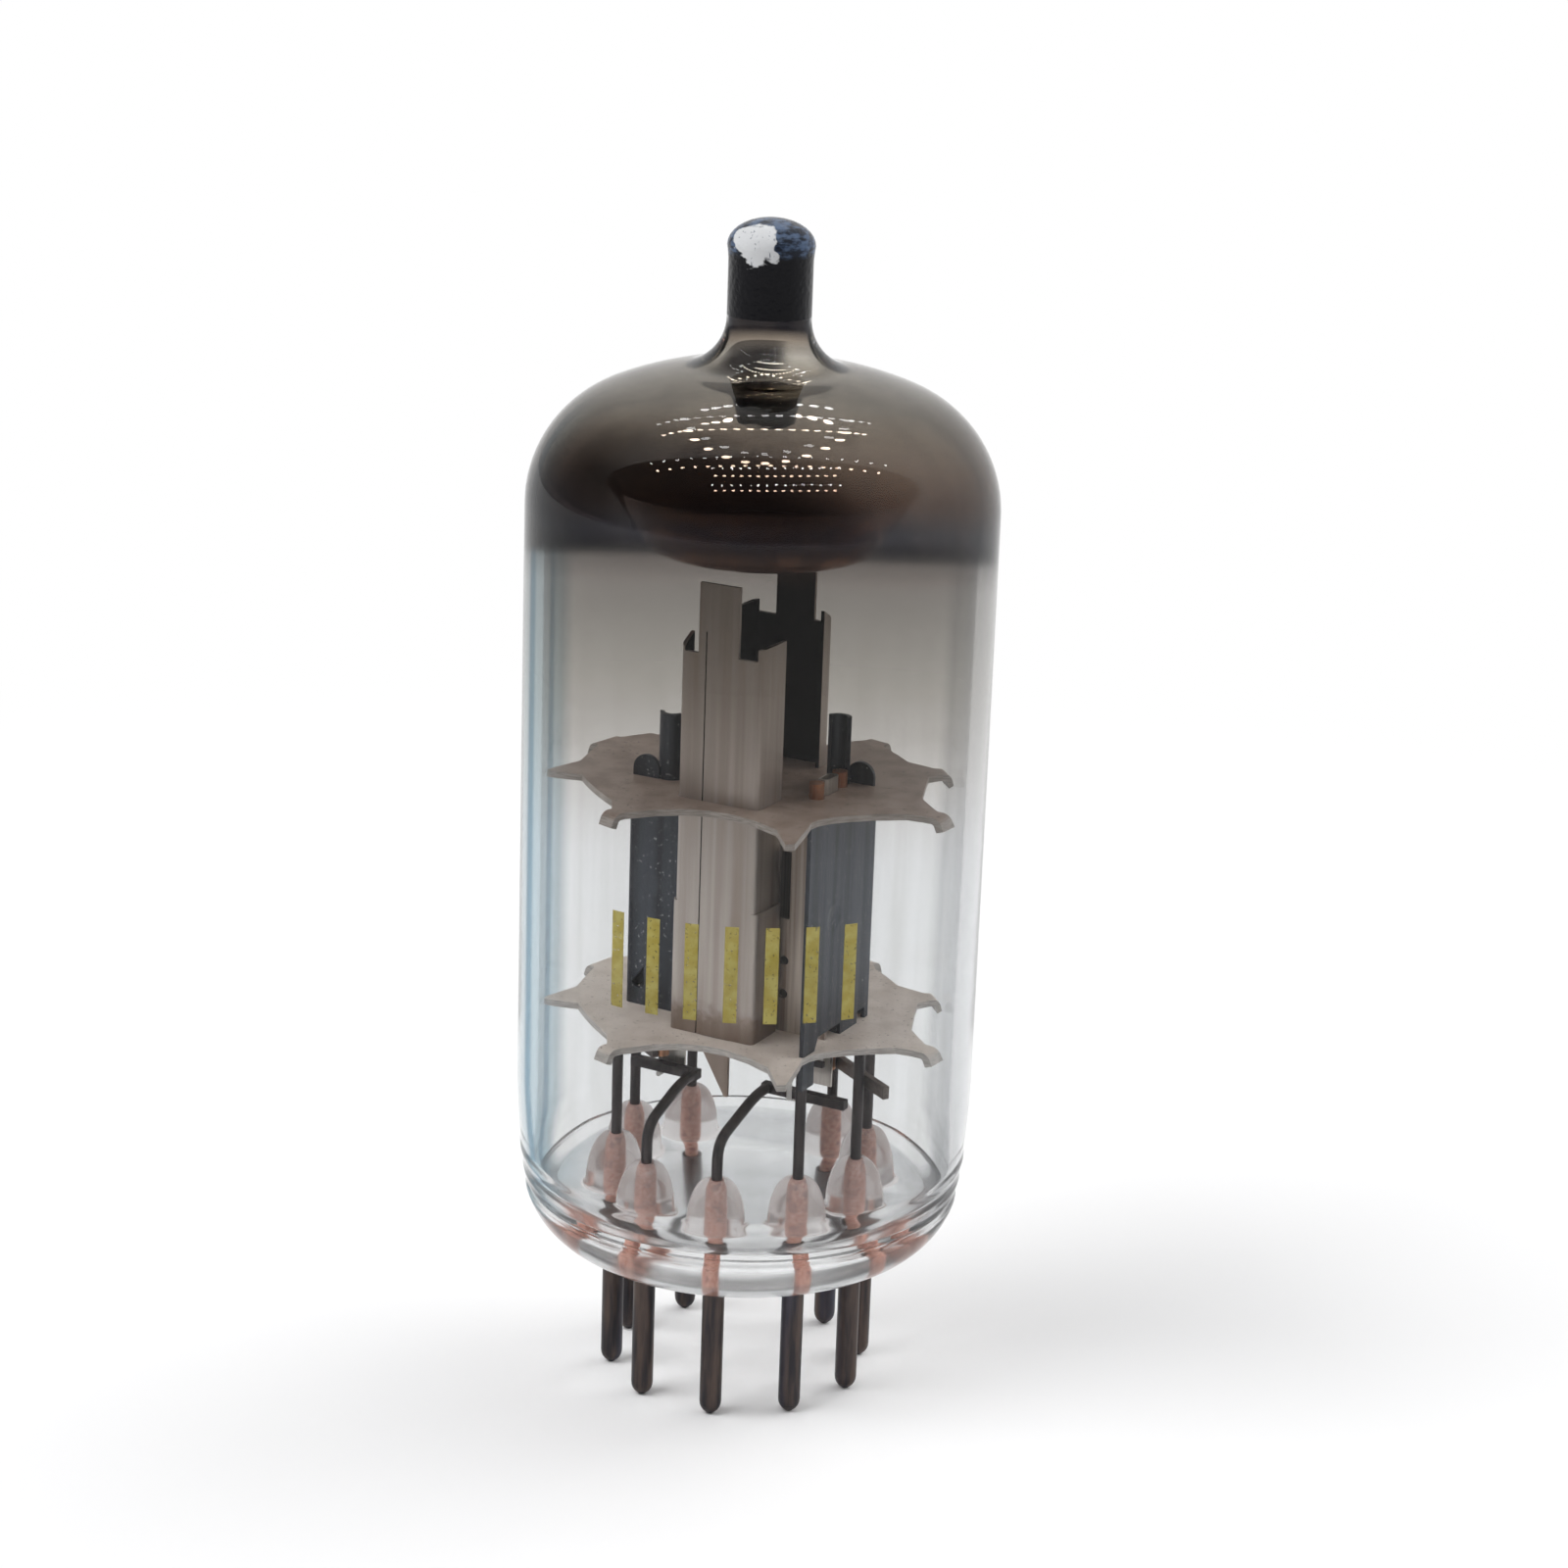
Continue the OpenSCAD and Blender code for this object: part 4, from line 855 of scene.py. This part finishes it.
@dataclass
class Envelope:
    """Blown bulb fused to the pressed base with its beads, sealed at the exhaust stub.

    groove gives the heights over the seam at which its groove has a share of its depth.
    """

    wall: float = 0.9
    stub_wall: float = 0.55
    shoulder_z: float = 41.6
    shoulder_r: float = 5.8
    shoulder_turn: float = 68.0
    crown_r: float = 16.0
    stub_r: float = 1.87
    flare_r: float = 2.2
    tip_h: float = 1.7
    tip_round: float = 1.2
    tip_bulge: float = 0.07
    tip_neck: float = 0.1
    coated_h: float = 2.55
    seam_inset: float = 0.47
    groove_depth: float = 0.15
    groove_half: float = 0.25
    groove: tuple[Point, ...] = ((-0.13, 0.4), (-0.03, 1.0), (0.05, 1.0), (0.15, 0.3))
    bands: tuple[Band, ...] = (Band(1.75, 0.42, 0.06), Band(0.75, 0.28, 0.04))
    foot_h: float = 5.9
    sink: float = 0.01
    edge_r: float = 3.5
    fillet_r: float = 1.1
    bead_r: float = 1.33
    bead_skirt: float = 0.22
    bead_lip: float = 0.06
    wire_r: float = 0.33
    steps: int = 224
    bead_steps: int = 40
    bulb_r: float = field(init=False)
    tip_z: float = field(init=False)
    seam_z: float = field(init=False)
    foot_z: float = field(init=False)
    bead_top: float = field(init=False)

    def __post_init__(self) -> None:
        """Takes the main sizes from the frame."""
        low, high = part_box("bulb")
        self.bulb_r = high.x / MM
        self.tip_z = high.z / MM
        self.seam_z = low.z / MM
        low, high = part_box("stem_glass")
        self.foot_z = low.z / MM
        self.bead_top = high.z / MM

    @property
    def tip_root(self) -> float:
        """Height at which the melted tip starts."""
        return self.tip_z - self.tip_h

    @property
    def crown(self) -> tuple[Point, Point]:
        """Centre of the crown and centre of the flare, in the side view."""
        turn = radians(self.shoulder_turn)
        start = (
            self.bulb_r - self.shoulder_r + self.shoulder_r * cos(turn),
            self.shoulder_z + self.shoulder_r * sin(turn))
        centre = (start[0] - self.crown_r * cos(turn), start[1] - self.crown_r * sin(turn))
        reach = self.crown_r + self.flare_r
        end = acos((self.stub_r + self.flare_r - centre[0]) / reach)
        return centre, (centre[0] + reach * cos(end), centre[1] + reach * sin(end))

    def dome(self, wall: float, stub_wall: float) -> list[Point]:
        """Side view from the shoulder up to the stub.

        Args:
            wall: Distance inside the outer face of the bulb.
            stub_wall: Distance inside the outer face of the stub.

        Returns:
            The points, from the shoulder upwards.
        """
        centre, flare = self.crown
        shoulder = (self.bulb_r - self.shoulder_r, self.shoulder_z)
        reach = self.crown_r - wall + self.flare_r + stub_wall
        meet = acos((flare[0] - centre[0]) / reach)
        neck = (centre[0] + reach * cos(meet), centre[1] + reach * sin(meet))
        return [
            *arc(shoulder, self.shoulder_r - wall, 0, self.shoulder_turn, 20),
            *arc(centre, self.crown_r - wall, self.shoulder_turn, degrees(meet), 12)[1:],
            *arc(neck, self.flare_r + stub_wall, 180 + degrees(meet), 180, 14)[1:]]

    def bore_end(self, stub_wall: float) -> list[Point]:
        """Closed end of the stub's bore, from its side to the axis."""
        centre = (0.0, self.tip_root - self.stub_r + self.stub_wall)
        return arc(centre, self.stub_r - stub_wall, 0, 90, 12)

    def outside(self) -> list[Point]:
        """Side view of the whole outer face, from the axis below to the axis above.

        Returns:
            The points in order.
        """
        seam_r = self.bulb_r - self.seam_inset
        base_z = self.foot_z - self.sink
        rise = self.seam_z - self.foot_z - self.groove_half
        end = asin((self.edge_r - rise) / self.edge_r)
        flat_r = seam_r - self.edge_r * cos(end)
        foot_r = (self.foot_h ** 2 + self.seam_inset ** 2) / (2 * self.seam_inset)
        foot_start = asin((self.foot_h - self.groove_half) / foot_r)
        foot = arc((self.bulb_r - foot_r, self.seam_z + self.foot_h), foot_r, -degrees(foot_start), 0, 60)
        tip_centre = (0.0, self.tip_z - self.tip_round)
        return [
            (0.0, base_z),
            *arc((flat_r, base_z + self.edge_r), self.edge_r, 270, 360 - degrees(end), 18),
            *[(seam_r - share * self.groove_depth, self.seam_z + over) for over, share in self.groove],
            *[(r + sum(band.proud(z - self.seam_z) for band in self.bands), z) for r, z in foot],
            *self.dome(0.0, 0.0),
            (self.stub_r, self.tip_root - self.coated_h),
            (self.stub_r, self.tip_root - self.tip_neck),
            *arc(tip_centre, self.stub_r + self.tip_bulge, -10, 90, 10, self.tip_round)]

    def inside(self) -> list[Point]:
        """Side view of the cavity, from the edge of its floor to the closed end of the bore.

        Returns:
            The points in order.
        """
        tall = 2 * self.fillet_r
        corner = (self.bulb_r - self.wall - self.fillet_r, self.seam_z + tall)
        return [
            *arc(corner, self.fillet_r, -90, 0, 10, tall),
            *self.dome(self.wall, self.stub_wall), *self.bore_end(self.stub_wall)]

    def bead(self) -> list[Point]:
        """Side view of a bead, from its base to the wire.

        Returns:
            The points in order.
        """
        lip_r = self.wire_r + self.bead_lip
        skirt_z = self.seam_z + self.bead_skirt
        return [
            *arc((self.bead_r + self.bead_skirt, skirt_z), self.bead_skirt, 270, 180, 3)[:-1],
            *arc((lip_r, skirt_z), self.bead_r - lip_r, 0, 90, 10, self.bead_top - skirt_z),
            (0.0, self.bead_top)]

    def build(self, finishes: dict[Glass, Finish]) -> bpy.types.Object:
        """Makes the one fused glass body.

        Args:
            finishes: Finish of each kind of glass.

        Returns:
            The piece that stands for the bulb and the base.
        """
        shape = Shape()
        for face in shape.lathe(self.outside(), self.steps):
            height = face.calc_center_median().z
            if height > self.tip_root - self.coated_h:
                face.material_index = Glass.TIP
            elif height < self.seam_z:
                face.material_index = Glass.FOOT
        shape.lathe(self.inside(), self.steps, inward=True)
        beads = []
        for k in PIN_NUMBERS:
            low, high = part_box(f"pin_{k}")
            centre = (low + high) / 2 / MM
            beads += shape.lathe(self.bead(), self.bead_steps, centre.xy[:])
        rims = [e for e in shape.bm.edges if e.is_boundary]
        floor = bmesh.ops.triangle_fill(
            shape.bm, edges=rims, use_beauty=True, use_dissolve=False, normal=UP)
        for face in floor["geom"]:
            if isinstance(face, bmesh.types.BMFace):
                face.material_index = Glass.FOOT
                if face.normal.z < 0:
                    face.normal_flip()
        for face in beads:
            face.material_index = Glass.BEAD
        made = shape.finish("glass_envelope", *[finishes[kind].build() for kind in Glass])
        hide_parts("bulb", "stem_glass")
        return made


@dataclass
class MetalFilm:
    """Film on the inner face of the dome and the stub, set just inside the glass as a deposit is."""

    envelope: Envelope
    depth: float = 0.012
    stub_depth: float = 0.14
    thickness: float = 0.02
    low_z: float = 35.5

    def side(self, inset: float) -> list[Point]:
        """Side view of one face of the film.

        Args:
            inset: Distance outwards from the film's inner face.

        Returns:
            The points, from the lower end to the axis.
        """
        wall = self.envelope.wall - self.depth - inset
        stub_wall = self.envelope.stub_wall - self.stub_depth - inset
        return [
            (self.envelope.bulb_r - wall, self.low_z), *self.envelope.dome(wall, stub_wall),
            *self.envelope.bore_end(stub_wall)]

    def build(self, finish: Finish) -> bpy.types.Object:
        """Makes the film as a closed thin shell.

        Args:
            finish: Finish of the film.

        Returns:
            The piece that stands for the film.
        """
        shape = Shape()
        shape.lathe([*reversed(self.side(0.0)), *self.side(self.thickness)], self.envelope.steps)
        made = shape.finish("metal_film", finish.build())
        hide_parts("getter_film")
        return made


@dataclass
class PrintedBars:
    """Plain row of yellow bars on the glass, at the height of the print on such tubes."""

    radius: float
    first: float = -4.0
    step: float = 9.5
    count: int = 7
    low_z: float = 21.0
    height: float = 4.4
    width: float = 0.6
    thickness: float = 0.012
    steps: int = 10

    def build(self, finish: Finish) -> bpy.types.Object:
        """Makes the bars as curved patches that lie on the glass.

        Args:
            finish: Finish of the print.

        Returns:
            The piece.
        """
        shape = Shape()
        sweep = degrees(self.width / self.radius)
        for i in range(self.count):
            side = direction(self.first + i * self.step - sweep / 2)
            start = self.radius * side + self.low_z * UP
            low = shape.bm.verts.new(start)
            high = shape.bm.verts.new(start + self.height * UP)
            edge = shape.bm.edges.new((low, high))
            bmesh.ops.spin(
                shape.bm, geom=[low, high, edge], cent=(0.0, 0.0, 0.0), axis=UP, angle=radians(sweep),
                steps=self.steps, use_merge=False)
        bmesh.ops.recalc_face_normals(shape.bm, faces=shape.bm.faces)
        inward = [f for f in shape.bm.faces if f.normal.xy.dot(f.calc_center_median().xy) < 0]
        bmesh.ops.reverse_faces(shape.bm, faces=inward)
        made = shape.finish("printed_bars", finish.build())
        solid = made.modifiers.new("thickness", "SOLIDIFY")
        solid.thickness = self.thickness * MM
        solid.offset = 1.0
        return made


def screen_finish(name: str, heart: Point) -> TwoSidedFinish:
    """Finish of a screen, silvery outside and black towards an upright line through its heart."""
    return TwoSidedFinish(
        name, (0.50, 0.435, 0.39), (0.60, 0.535, 0.49), 0.75, 0.42, Grain.BRUSHED, 0.32,
        blotch_size=0.8, blotch=(0.40, 0.33, 0.285), relief=0.003, heart=heart)


@dataclass
class Dressing:
    """Finishes of the solids that are shown as they come from the frame, by the starts of their names."""

    finishes: tuple[tuple[tuple[str, ...], Finish], ...] = (
        (("pin_",), SheetFinish(
            "pin_oxidised", (0.030, 0.028, 0.032), (0.09, 0.066, 0.056), 0.75, 0.4, Grain.DRAWN, 0.35,
            blotch_size=1.4, blotch=(0.04, 0.045, 0.07), relief=0.006)),
        (("seal_wire_",), SheetFinish(
            "seal_copper", (0.64, 0.27, 0.19), (0.90, 0.55, 0.45), 0.2, 0.5, Grain.EVEN, 0.14,
            blotch_size=0.4, blotch=(0.42, 0.20, 0.17), relief=0.01)),
        (("inner_lead_", "heater_bar_", "heater_link"), SheetFinish(
            "lead_wire", (0.030, 0.026, 0.027), (0.07, 0.056, 0.055), 0.7, 0.42, Grain.DRAWN, 0.25,
            relief=0.003)),
        (("lower_mica",), MicaFinish(
            "mica_lower", (0.80, 0.715, 0.64), (0.67, 0.585, 0.51), (0.70, 0.67, 0.64))),
        (("upper_mica",), MicaFinish("mica_upper", (0.41, 0.325, 0.27), (0.30, 0.22, 0.18))),
        (("anode_plate_",), SheetFinish(
            "anode_plate_nickel", (0.34, 0.27, 0.23), (0.78, 0.70, 0.62), 0.75, 0.34, Grain.BRUSHED, 0.3,
            relief=0.003)),
        (("anode_",), SheetFinish(
            "anode_carbonised", (0.020, 0.023, 0.030), (0.062, 0.069, 0.085), 0.35, 0.4, Grain.BRUSHED,
            0.45, blotch_size=1.2, blotch=(0.012, 0.013, 0.018), dust=0.5)),
        (("screen_front",), screen_finish("screen_front_sheet", (0.45, -3.2))),
        (("screen_rear",), screen_finish("screen_rear_sheet", (-0.45, 3.2))),
        (("cathode_",), SheetFinish(
            "cathode_nickel", (0.52, 0.48, 0.44), (0.66, 0.62, 0.57), 0.9, 0.3, Grain.DRAWN, 0.2,
            relief=0.003)),
        (("heater_",), SheetFinish(
            "heater_coating", (0.8, 0.79, 0.76), (0.7, 0.68, 0.64), 0.0, 0.8, Grain.EVEN, 0.1,
            relief=0.01)),
        (("grid_post_",), SheetFinish(
            "grid_post_copper", (0.45, 0.20, 0.11), (0.55, 0.3, 0.18), 0.9, 0.3, Grain.DRAWN, 0.2)),
        (("grid_winding_",), SheetFinish(
            "grid_wire", (0.45, 0.39, 0.3), (0.55, 0.5, 0.4), 0.9, 0.3, Grain.EVEN, 0.1)),
        (("grid_strap_",), SheetFinish(
            "strap_metal", (0.11, 0.09, 0.082), (0.17, 0.14, 0.125), 0.75, 0.42, Grain.EVEN, 0.2)),
        (("getter_dish",), SheetFinish(
            "dish_browned", (0.05, 0.028, 0.02), (0.16, 0.075, 0.04), 0.85, 0.13, Grain.FLAT, 1.6,
            blotch_size=3.0, blotch=(0.26, 0.11, 0.05), relief=0.003)),
        (("getter_ring",), SheetFinish(
            "getter_channel", (0.12, 0.1, 0.09), (0.2, 0.17, 0.15), 0.8, 0.35, Grain.EVEN, 0.3)))

    def build(self) -> None:
        """Gives each shown solid the first finish whose starts fit its name."""
        materials = [(starts, finish.build()) for starts, finish in self.finishes]
        for name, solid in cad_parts.items():
            material = next((made for starts, made in materials if name.startswith(starts)), None)
            if material is None:
                continue
            if not solid.material_slots:
                solid.data.materials.append(material)
            for place in solid.material_slots:
                place.material = material
            LOG.info("%s: %s", name, material.name)


@dataclass(frozen=True)
class LampRow:
    """Bowed row of small lamps through three places. Size and glow are shares of a common lamp's."""

    start: Place
    middle: Place
    end: Place
    count: int
    size: float
    glow: float

    def places(self) -> list[Vector]:
        """Places of the lamps, in millimetres."""
        start, middle, end = Vector(self.start), Vector(self.middle), Vector(self.end)
        bow = 2 * middle - (start + end) / 2
        shares = [i / (self.count - 1) for i in range(self.count)]
        return [(1 - t) ** 2 * start + 2 * t * (1 - t) * bow + t ** 2 * end for t in shares]


@dataclass(frozen=True)
class LampRing:
    """Near side of an oval ring of small lamps, with angles in degrees from its long half-axis."""

    centre: Place = (-37.0, 68.0, 225.0)
    along: Place = (-0.483, 0.876, 0.0)
    half_length: float = 120.0
    across: Place = (0.783, 0.62, 0.0)
    half_width: float = 65.0
    start: float = 75.0
    sweep: float = 210.0
    count: int = 11
    size: float = 1.9
    glow: float = 1.6

    def places(self) -> list[Vector]:
        """Places of the lamps, in millimetres."""
        long_axis = self.half_length * Vector(self.along)
        short_axis = self.half_width * Vector(self.across)
        turns = [radians(self.start + self.sweep * i / (self.count - 1)) for i in range(self.count)]
        return [Vector(self.centre) + cos(t) * long_axis + sin(t) * short_axis for t in turns]


@dataclass
class Studio:
    """Pale floor, soft lights, an overhead ring and rows of small lamps, and the camera."""

    floor_half: float = 2500.0
    aim_z: float = 27.0
    lamp_r: float = 2.6
    lamp_power: float = 0.0028
    ring: LampRing = LampRing()
    rows: tuple[LampRow, ...] = (
        LampRow((-88.0, 90.0, 198.0), (-64.0, 113.0, 194.0), (-34.0, 132.0, 189.0), 10, 1.0, 1.7),
        LampRow((-113.0, 28.0, 208.0), (-51.0, 93.0, 212.0), (13.0, 125.0, 200.0), 19, 0.9, 1.7),
        LampRow((-107.0, -94.0, 191.0), (26.0, -48.0, 240.0), (128.0, 59.0, 192.0), 18, 1.0, 2.8),
        LampRow((-20.0, -108.0, 217.0), (57.0, -72.0, 227.0), (113.0, -7.0, 215.0), 15, 1.0, 6.0),
        LampRow((-5.0, -148.0, 188.0), (81.0, -111.0, 199.0), (143.0, -39.0, 188.0), 15, 1.0, 6.0))
    bright_side: Place = (0.28, 0.93, 0.12)
    sky_span: Span = (-0.45, 0.75)
    sky: Stops = ((0.0, (0.10, 0.10, 0.11)), (0.3, (0.3, 0.3, 0.31)), (0.7, (0.8, 0.8, 0.8)), (1.0, WHITE))
    horizon: Rgb = (0.85, 0.85, 0.86)
    horizon_top: float = 0.45
    horizon_share: float = 0.35
    eye: Place = (72.66, -134.19, 74.55)
    right: Place = (0.87826, 0.47697, 0.03409)
    up: Place = (-0.16606, 0.23735, 0.95713)
    forward: Place = (-0.44843, 0.84626, -0.28766)
    lens: float = 80.24
    sensor: float = 36.0

    def floor(self) -> None:
        """Makes the floor."""
        shape = bmesh.new()
        bmesh.ops.create_grid(shape, x_segments=1, y_segments=1, size=self.floor_half * MM)
        mesh = bpy.data.meshes.new("floor")
        shape.to_mesh(mesh)
        shape.free()
        mesh.materials.append(FloorFinish("floor_pale").build())
        add_object("floor", mesh)

    def world(self) -> None:
        """Makes the surroundings: white behind the tube, dimmer overhead and dark in front to the left."""
        world = bpy.data.worlds.new("surroundings")
        world.use_nodes = True
        bpy.context.scene.world = world
        graph = Graph(world.node_tree)
        toward = graph.node("ShaderNodeTexCoord").outputs["Generated"]
        back = graph.vector_math("DOT_PRODUCT", toward, Vector(self.bright_side).normalized())
        shade = graph.ramp(graph.spread(back, *self.sky_span), self.sky)
        height = graph.math("ABSOLUTE", graph.vector_math("DOT_PRODUCT", toward, UP))
        low = graph.inverse(graph.spread(height, 0.0, self.horizon_top))
        shade = graph.blend(graph.times(low, self.horizon_share), shade, self.horizon)
        sky = graph.node("ShaderNodeBackground", Color=shade, Strength=1.0)
        graph.node("ShaderNodeOutputWorld", Surface=sky.outputs[0])

    def area(self, name: str, at: Place, size: float, power: float) -> None:
        """Adds a soft light that faces the tube and leaves no reflection of its own.

        Args:
            name: Name of the light.
            at: Place in millimetres.
            size: Side of the square light in millimetres.
            power: Power in watts.
        """
        data = bpy.data.lights.new(name, "AREA")
        data.size = size * MM
        data.energy = power
        made = add_object(name, data)
        made.location = Vector(at) * MM
        made.rotation_euler = (self.aim_z * UP - Vector(at)).to_track_quat("-Z", "Y").to_euler()
        made.visible_glossy = False
        made.visible_transmission = False

    def lamp(self, name: str, at: Vector, size: float, glow: float) -> None:
        """Adds one small lamp, which shows in the glass as a dot.

        Args:
            name: Name of the lamp.
            at: Place in millimetres.
            size: Size as a share of a common lamp's.
            glow: Brightness as a share of a common lamp's.
        """
        data = bpy.data.lights.new(name, "POINT")
        data.energy = self.lamp_power * glow * size ** 2
        data.shadow_soft_size = self.lamp_r * size * MM
        made = add_object(name, data)
        made.location = at * MM
        made.visible_diffuse = False

    def lamps(self) -> None:
        """Adds the near side of an overhead ring of lamps, and the rows round it."""
        groups = {"ring": self.ring, **{f"row_{i}": row for i, row in enumerate(self.rows)}}
        for name, group in groups.items():
            for i, at in enumerate(group.places()):
                self.lamp(f"{name}_lamp_{i}", at, group.size, group.glow)

    def camera(self) -> None:
        """Adds the camera at the photo's viewing angle."""
        data = bpy.data.cameras.new("camera")
        data.lens = self.lens
        data.sensor_width = self.sensor
        data.clip_start = 5 * MM
        made = add_object("camera", data)
        axes = Matrix((self.right, self.up, -Vector(self.forward))).transposed()
        made.matrix_world = Matrix.Translation(Vector(self.eye) * MM) @ axes.to_4x4()
        bpy.context.scene.camera = made

    def build(self) -> None:
        """Builds the whole setting."""
        self.camera()
        self.floor()
        self.world()
        self.area("key_light", (-150.0, -160.0, 300.0), 220.0, 0.9)
        self.area("back_light", (160.0, 230.0, 220.0), 260.0, 0.5)
        self.lamps()
        scene = bpy.context.scene
        scene.view_settings.view_transform = "Standard"
        scene.cycles.max_bounces = 24
        scene.cycles.transmission_bounces = 20
        scene.cycles.transparent_max_bounces = 16
        scene.cycles.glossy_bounces = 8


def main() -> None:
    """Builds the tube and its setting."""
    logging.basicConfig(level=logging.INFO, format="%(name)s %(message)s")
    Studio().build()
    Dressing().build()
    envelope = Envelope()
    edge = FilmEdge()
    envelope.build({
        Glass.BULB: GlassFinish("bulb_glass", edge),
        Glass.BEAD: BeadFinish("bead_glass"),
        Glass.TIP: TipFinish("tip_glass", top=envelope.tip_z, black_to=envelope.tip_root + 0.05),
        Glass.FOOT: GlassFinish("foot_glass", edge, bend=1.36, roughness=0.15)})
    MetalFilm(envelope).build(FilmFinish("metal_film", edge))
    PrintedBars(envelope.bulb_r).build(PrintFinish("print_yellow"))


if __name__ == "__main__":
    main()
